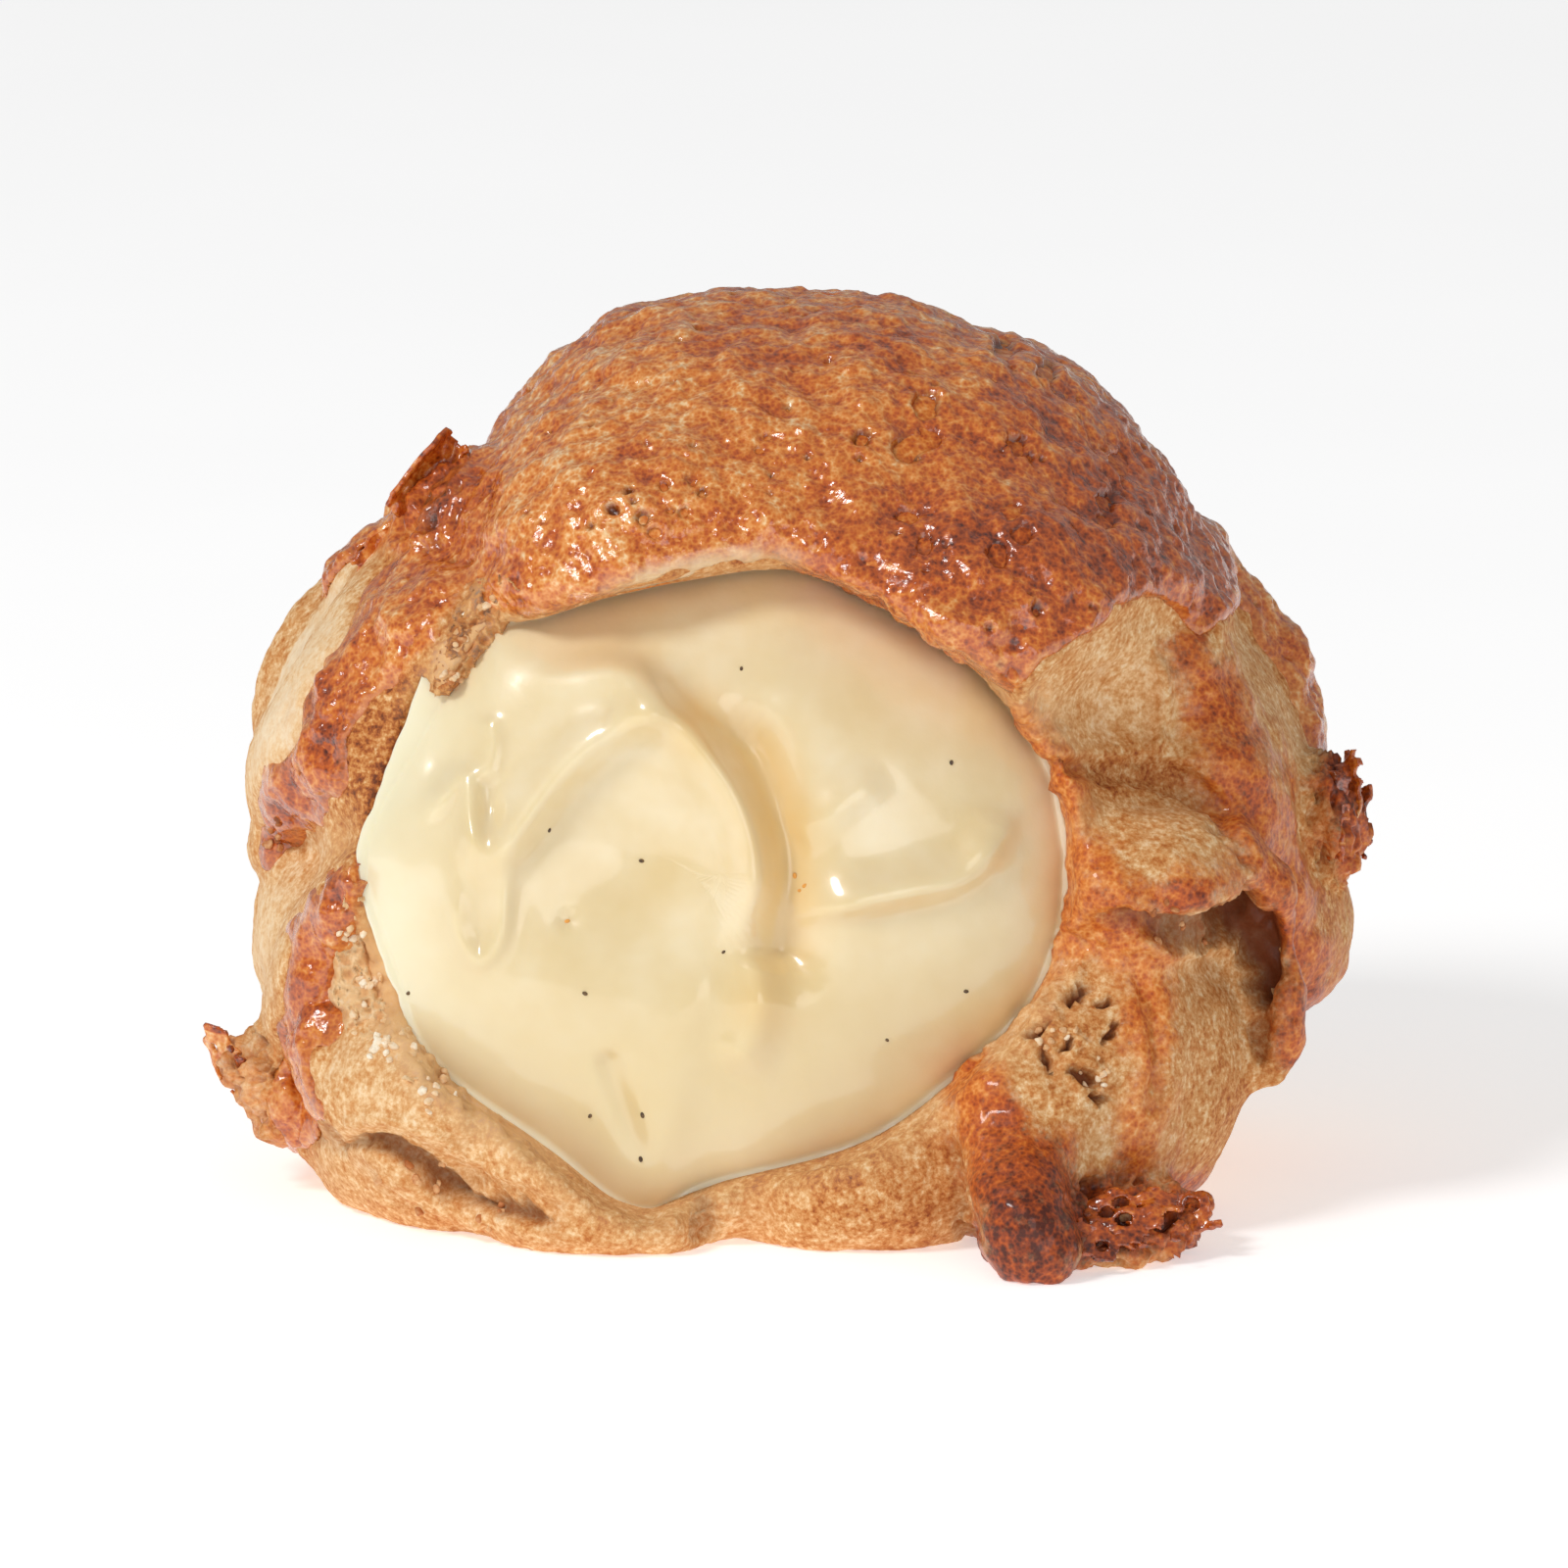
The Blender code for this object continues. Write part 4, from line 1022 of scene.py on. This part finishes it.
def crustColour(place, level):
    # foam of fine round bubbles, with painted shade darkening each bubble; gives the colour and the height
    mottle = place.fuzz(1.1, 4)
    froth = place.foamCells(0.52)
    small = place.foamCells(0.27)
    patch = place.fuzz(2.6)
    level = level + 0.55 * (mottle - 0.5) + 0.5 * (patch - 0.5)
    level = level + 0.45 * (froth - 0.42) + 0.3 * (small - 0.42)
    colour = level.ramp(
        (0.0, rgb(82, 28, 8)), (0.2, rgb(142, 58, 16)), (0.42, rgb(190, 86, 22)),
        (0.62, rgb(216, 122, 42)), (0.8, rgb(234, 158, 84)), (1.0, rgb(250, 212, 158)))
    bubble = place.foamCells(1.05, "SMOOTH_F1")
    return colour, 0.9 * (1 - bubble * bubble) + 0.25 * place.fuzz(0.45, 2) - 0.12 * froth


def chouxFinish():
    material, place = startFinish("baked choux")
    toast, crumb, hollow, glaze, dark, burn = (
        place.field(name) for name in ("toast", "crumb", "hollow", "glaze", "dark", "burn"))
    mottle = place.fuzz(1.5, 5, 0.7)
    speckle = place.fuzz(0.45, 3, 0.65)
    level = toast + (0.4 + 1.4 * toast) * (mottle - 0.5) + (0.3 + 2.2 * toast) * (speckle - 0.5)
    skin = level.ramp(
        (0.0, rgb(248, 224, 188)), (0.18, rgb(240, 202, 152)), (0.38, rgb(218, 162, 102)),
        (0.58, rgb(198, 126, 62)), (0.78, rgb(166, 88, 38)), (1.0, rgb(104, 50, 24)))
    # painted shade in the hollows makes the torn crumb less pale
    paleness = 0.55 + 1.2 * (mottle - 0.5) + 1.2 * (speckle - 0.5) - 0.6 * hollow
    torn = paleness.ramp((0.0, rgb(190, 122, 58)), (0.45, rgb(230, 182, 122)), (1.0, rgb(250, 230, 196)))
    brown, foam = crustColour(place, 0.6 - 0.5 * burn)
    colour = skin.mixed(torn, crumb * 0.85)
    # painted shade in the hollows, an orange-brown darkening
    colour = colour.mixed(rgb(178, 98, 40), hollow * 0.5)
    stain = (glaze * 1.15 + 0.9 * (mottle - 0.5) - 0.12).clamped()
    colour = colour.mixed(brown, stain)
    # painted shade in the holes, creases and open cells
    colour = colour.mixed(rgb(112, 50, 20), (dark * 0.9).clamped())
    height = 0.6 * place.fuzz(0.5) + 0.4 * speckle + 0.6 * stain * foam
    bump = height.bump(0.6, 0.00018)
    return endFinish(material, {
        "Base Color": colour, "Roughness": 0.6 + 0.2 * (1 - mottle) - 0.15 * stain, "Normal": bump,
        "Coat Weight": 0.4 * stain, "Coat Roughness": 0.1, "Specular IOR Level": 0.3})


def crustFinish():
    material, place = startFinish("brown crust")
    pore, hollow, edge, burn = (place.field(name) for name in ("pore", "hollow", "edge", "burn"))
    # browning, with painted shade on the cap's right side and painted light on its left
    # painted shade darkens the dips
    level = 0.63 - 0.5 * hollow - 0.5 * burn + 0.6 * (place.fuzz(5.0) - 0.5)
    skin, foam = crustColour(place, level)
    # painted shade: the pores and the flakes' open cells coloured dark
    colour = skin.mixed(rgb(84, 30, 14), pore.clamped())
    colour = colour.mixed(rgb(200, 134, 78), edge * 0.25)
    colour = colour.mixed(rgb(236, 212, 172), place.field("film") * 0.8)
    bump = foam.bump(1.0, 0.00026)
    roughness = (0.04 + 0.28 * place.fuzz(3.0)).clamped()
    return endFinish(material, {
        "Base Color": colour, "Roughness": roughness, "Normal": bump,
        "Specular IOR Level": 0.8, "Coat Weight": 0.25, "Coat Roughness": 0.15})


def custardFinish():
    material, place = startFinish("custard")
    valley = place.field("valley")
    cloud = place.fuzz(7.0)
    silk = place.fuzz(1.2)
    colour = cloud.ramp((0.3, rgb(232, 208, 156)), (0.5, rgb(237, 216, 170)), (0.7, rgb(243, 226, 188)))
    # painted shade along the groove, an orange tint
    colour = colour.mixed(rgb(238, 190, 104), valley * 0.55)
    # painted shade towards the bottom
    colour = colour.mixed(rgb(226, 203, 148), place.field("low") * 0.7)
    # painted light near the outline
    colour = colour.mixed(rgb(252, 246, 214), place.field("rim") * 0.85)
    bump = silk.bump(0.12, 0.0002)
    return endFinish(material, {
        "Base Color": colour, "Roughness": 0.24 + 0.14 * cloud, "Normal": bump,
        "Subsurface Weight": 0.25, "Subsurface Radius": (1.0, 0.85, 0.55), "Subsurface Scale": 0.002,
        "Coat Weight": 1.0, "Coat Roughness": 0.1})


def speckFinish():
    material, place = startFinish("vanilla seed")
    colour = place.fuzz(0.2, 2).ramp((0.4, rgb(66, 48, 34)), (0.6, rgb(110, 84, 52)))
    colour = colour.mixed(rgb(232, 160, 70), place.field("orange"))
    return endFinish(material, {"Base Color": colour, "Roughness": 0.5})


def crumbFinish():
    material, place = startFinish("crumb")
    grainy = place.fuzz(0.4)
    level = place.field("toast") + 0.6 * (grainy - 0.5)
    colour = level.ramp((0.0, rgb(250, 238, 214)), (0.35, rgb(232, 190, 138)), (0.65, rgb(190, 118, 62)),
                        (1.0, rgb(120, 58, 28)))
    bump = grainy.bump(0.5, 0.0001)
    return endFinish(material, {"Base Color": colour, "Roughness": 0.65, "Normal": bump})


def floorFinish():
    material, place = startFinish("pale floor")
    mottle = place.fuzz(studio["floorMottle"], 2)
    colour = mottle.ramp(*((at, (grey, grey, grey, 1)) for at, grey in ((0.3, 0.93), (0.7, 0.95))))
    return endFinish(material, {
        "Base Color": colour, "Roughness": 0.8, "Specular IOR Level": 0.2,
        "Emission Color": (1, 1, 1, 1), "Emission Strength": studio["floorGlow"]})


# Stage, light and camera

studio = {
    "distance": 2.0, "sensor": 36.0, "view": 116.8, "aim": (-0.8, 30.8, 12),
    "lights": {  # place, what it points at, size and watts
        "key": ((-0.46, -0.44, 0.60), (0, 0, 0.03), 0.22, 3.1),
        "fill": ((0.3, -0.95, 0.14), (0, 0, 0.03), 0.6, 1.5),
    },
    "world": 0.36,
    "floorHalf": 4, "floorMottle": 60, "floorGlow": 0.46,  # metres, millimetres and strength
}


def buildStage():
    bm = bmesh.new()
    bmesh.ops.create_grid(bm, x_segments=4, y_segments=4, size=studio["floorHalf"])
    floor = meshObject("floor", bm)
    floor.data.materials.append(floorFinish())
    for name, (place, target, size, watts) in studio["lights"].items():
        lamp = bpy.data.lights.new(name, "AREA")
        lamp.shape = "DISK"
        lamp.size = size
        lamp.energy = watts
        light = newObject(name, lamp)
        light.location = place
        light.rotation_euler = (Vector(target) - Vector(place)).to_track_quat("-Z", "Y").to_euler()
    world = bpy.data.worlds.new("studio")
    world.use_nodes = True
    world.node_tree.nodes["Background"].inputs["Color"].default_value = (1, 1, 1, 1)
    world.node_tree.nodes["Background"].inputs["Strength"].default_value = studio["world"]
    bpy.context.scene.world = world
    camera = newObject("camera", bpy.data.cameras.new("camera"))
    camera.data.sensor_width = studio["sensor"]
    camera.data.lens = studio["sensor"] * studio["distance"] / (studio["view"] * mm)
    target = (fromFace(*studio["aim"]) + puffShift) * mm
    back = Vector((0, -leanCos, leanSin))
    camera.location = Vector(target) + back * studio["distance"]
    camera.rotation_euler = (-back).to_track_quat("-Z", "Y").to_euler()
    bpy.context.scene.camera = camera
    bpy.context.scene.view_settings.view_transform = "Standard"
    print("stage, light and camera set")


chouxBody = bodyPiece()
brownCrust = crustPiece()
sheetPiece()
filling = custardPiece()
skins = [meshTree(skin.data) for skin in (chouxBody, brownCrust, filling)]
skins.append(meshTree(tearPiece(skins).data))
crumbPiece(skins)
speckPiece()
buildStage()
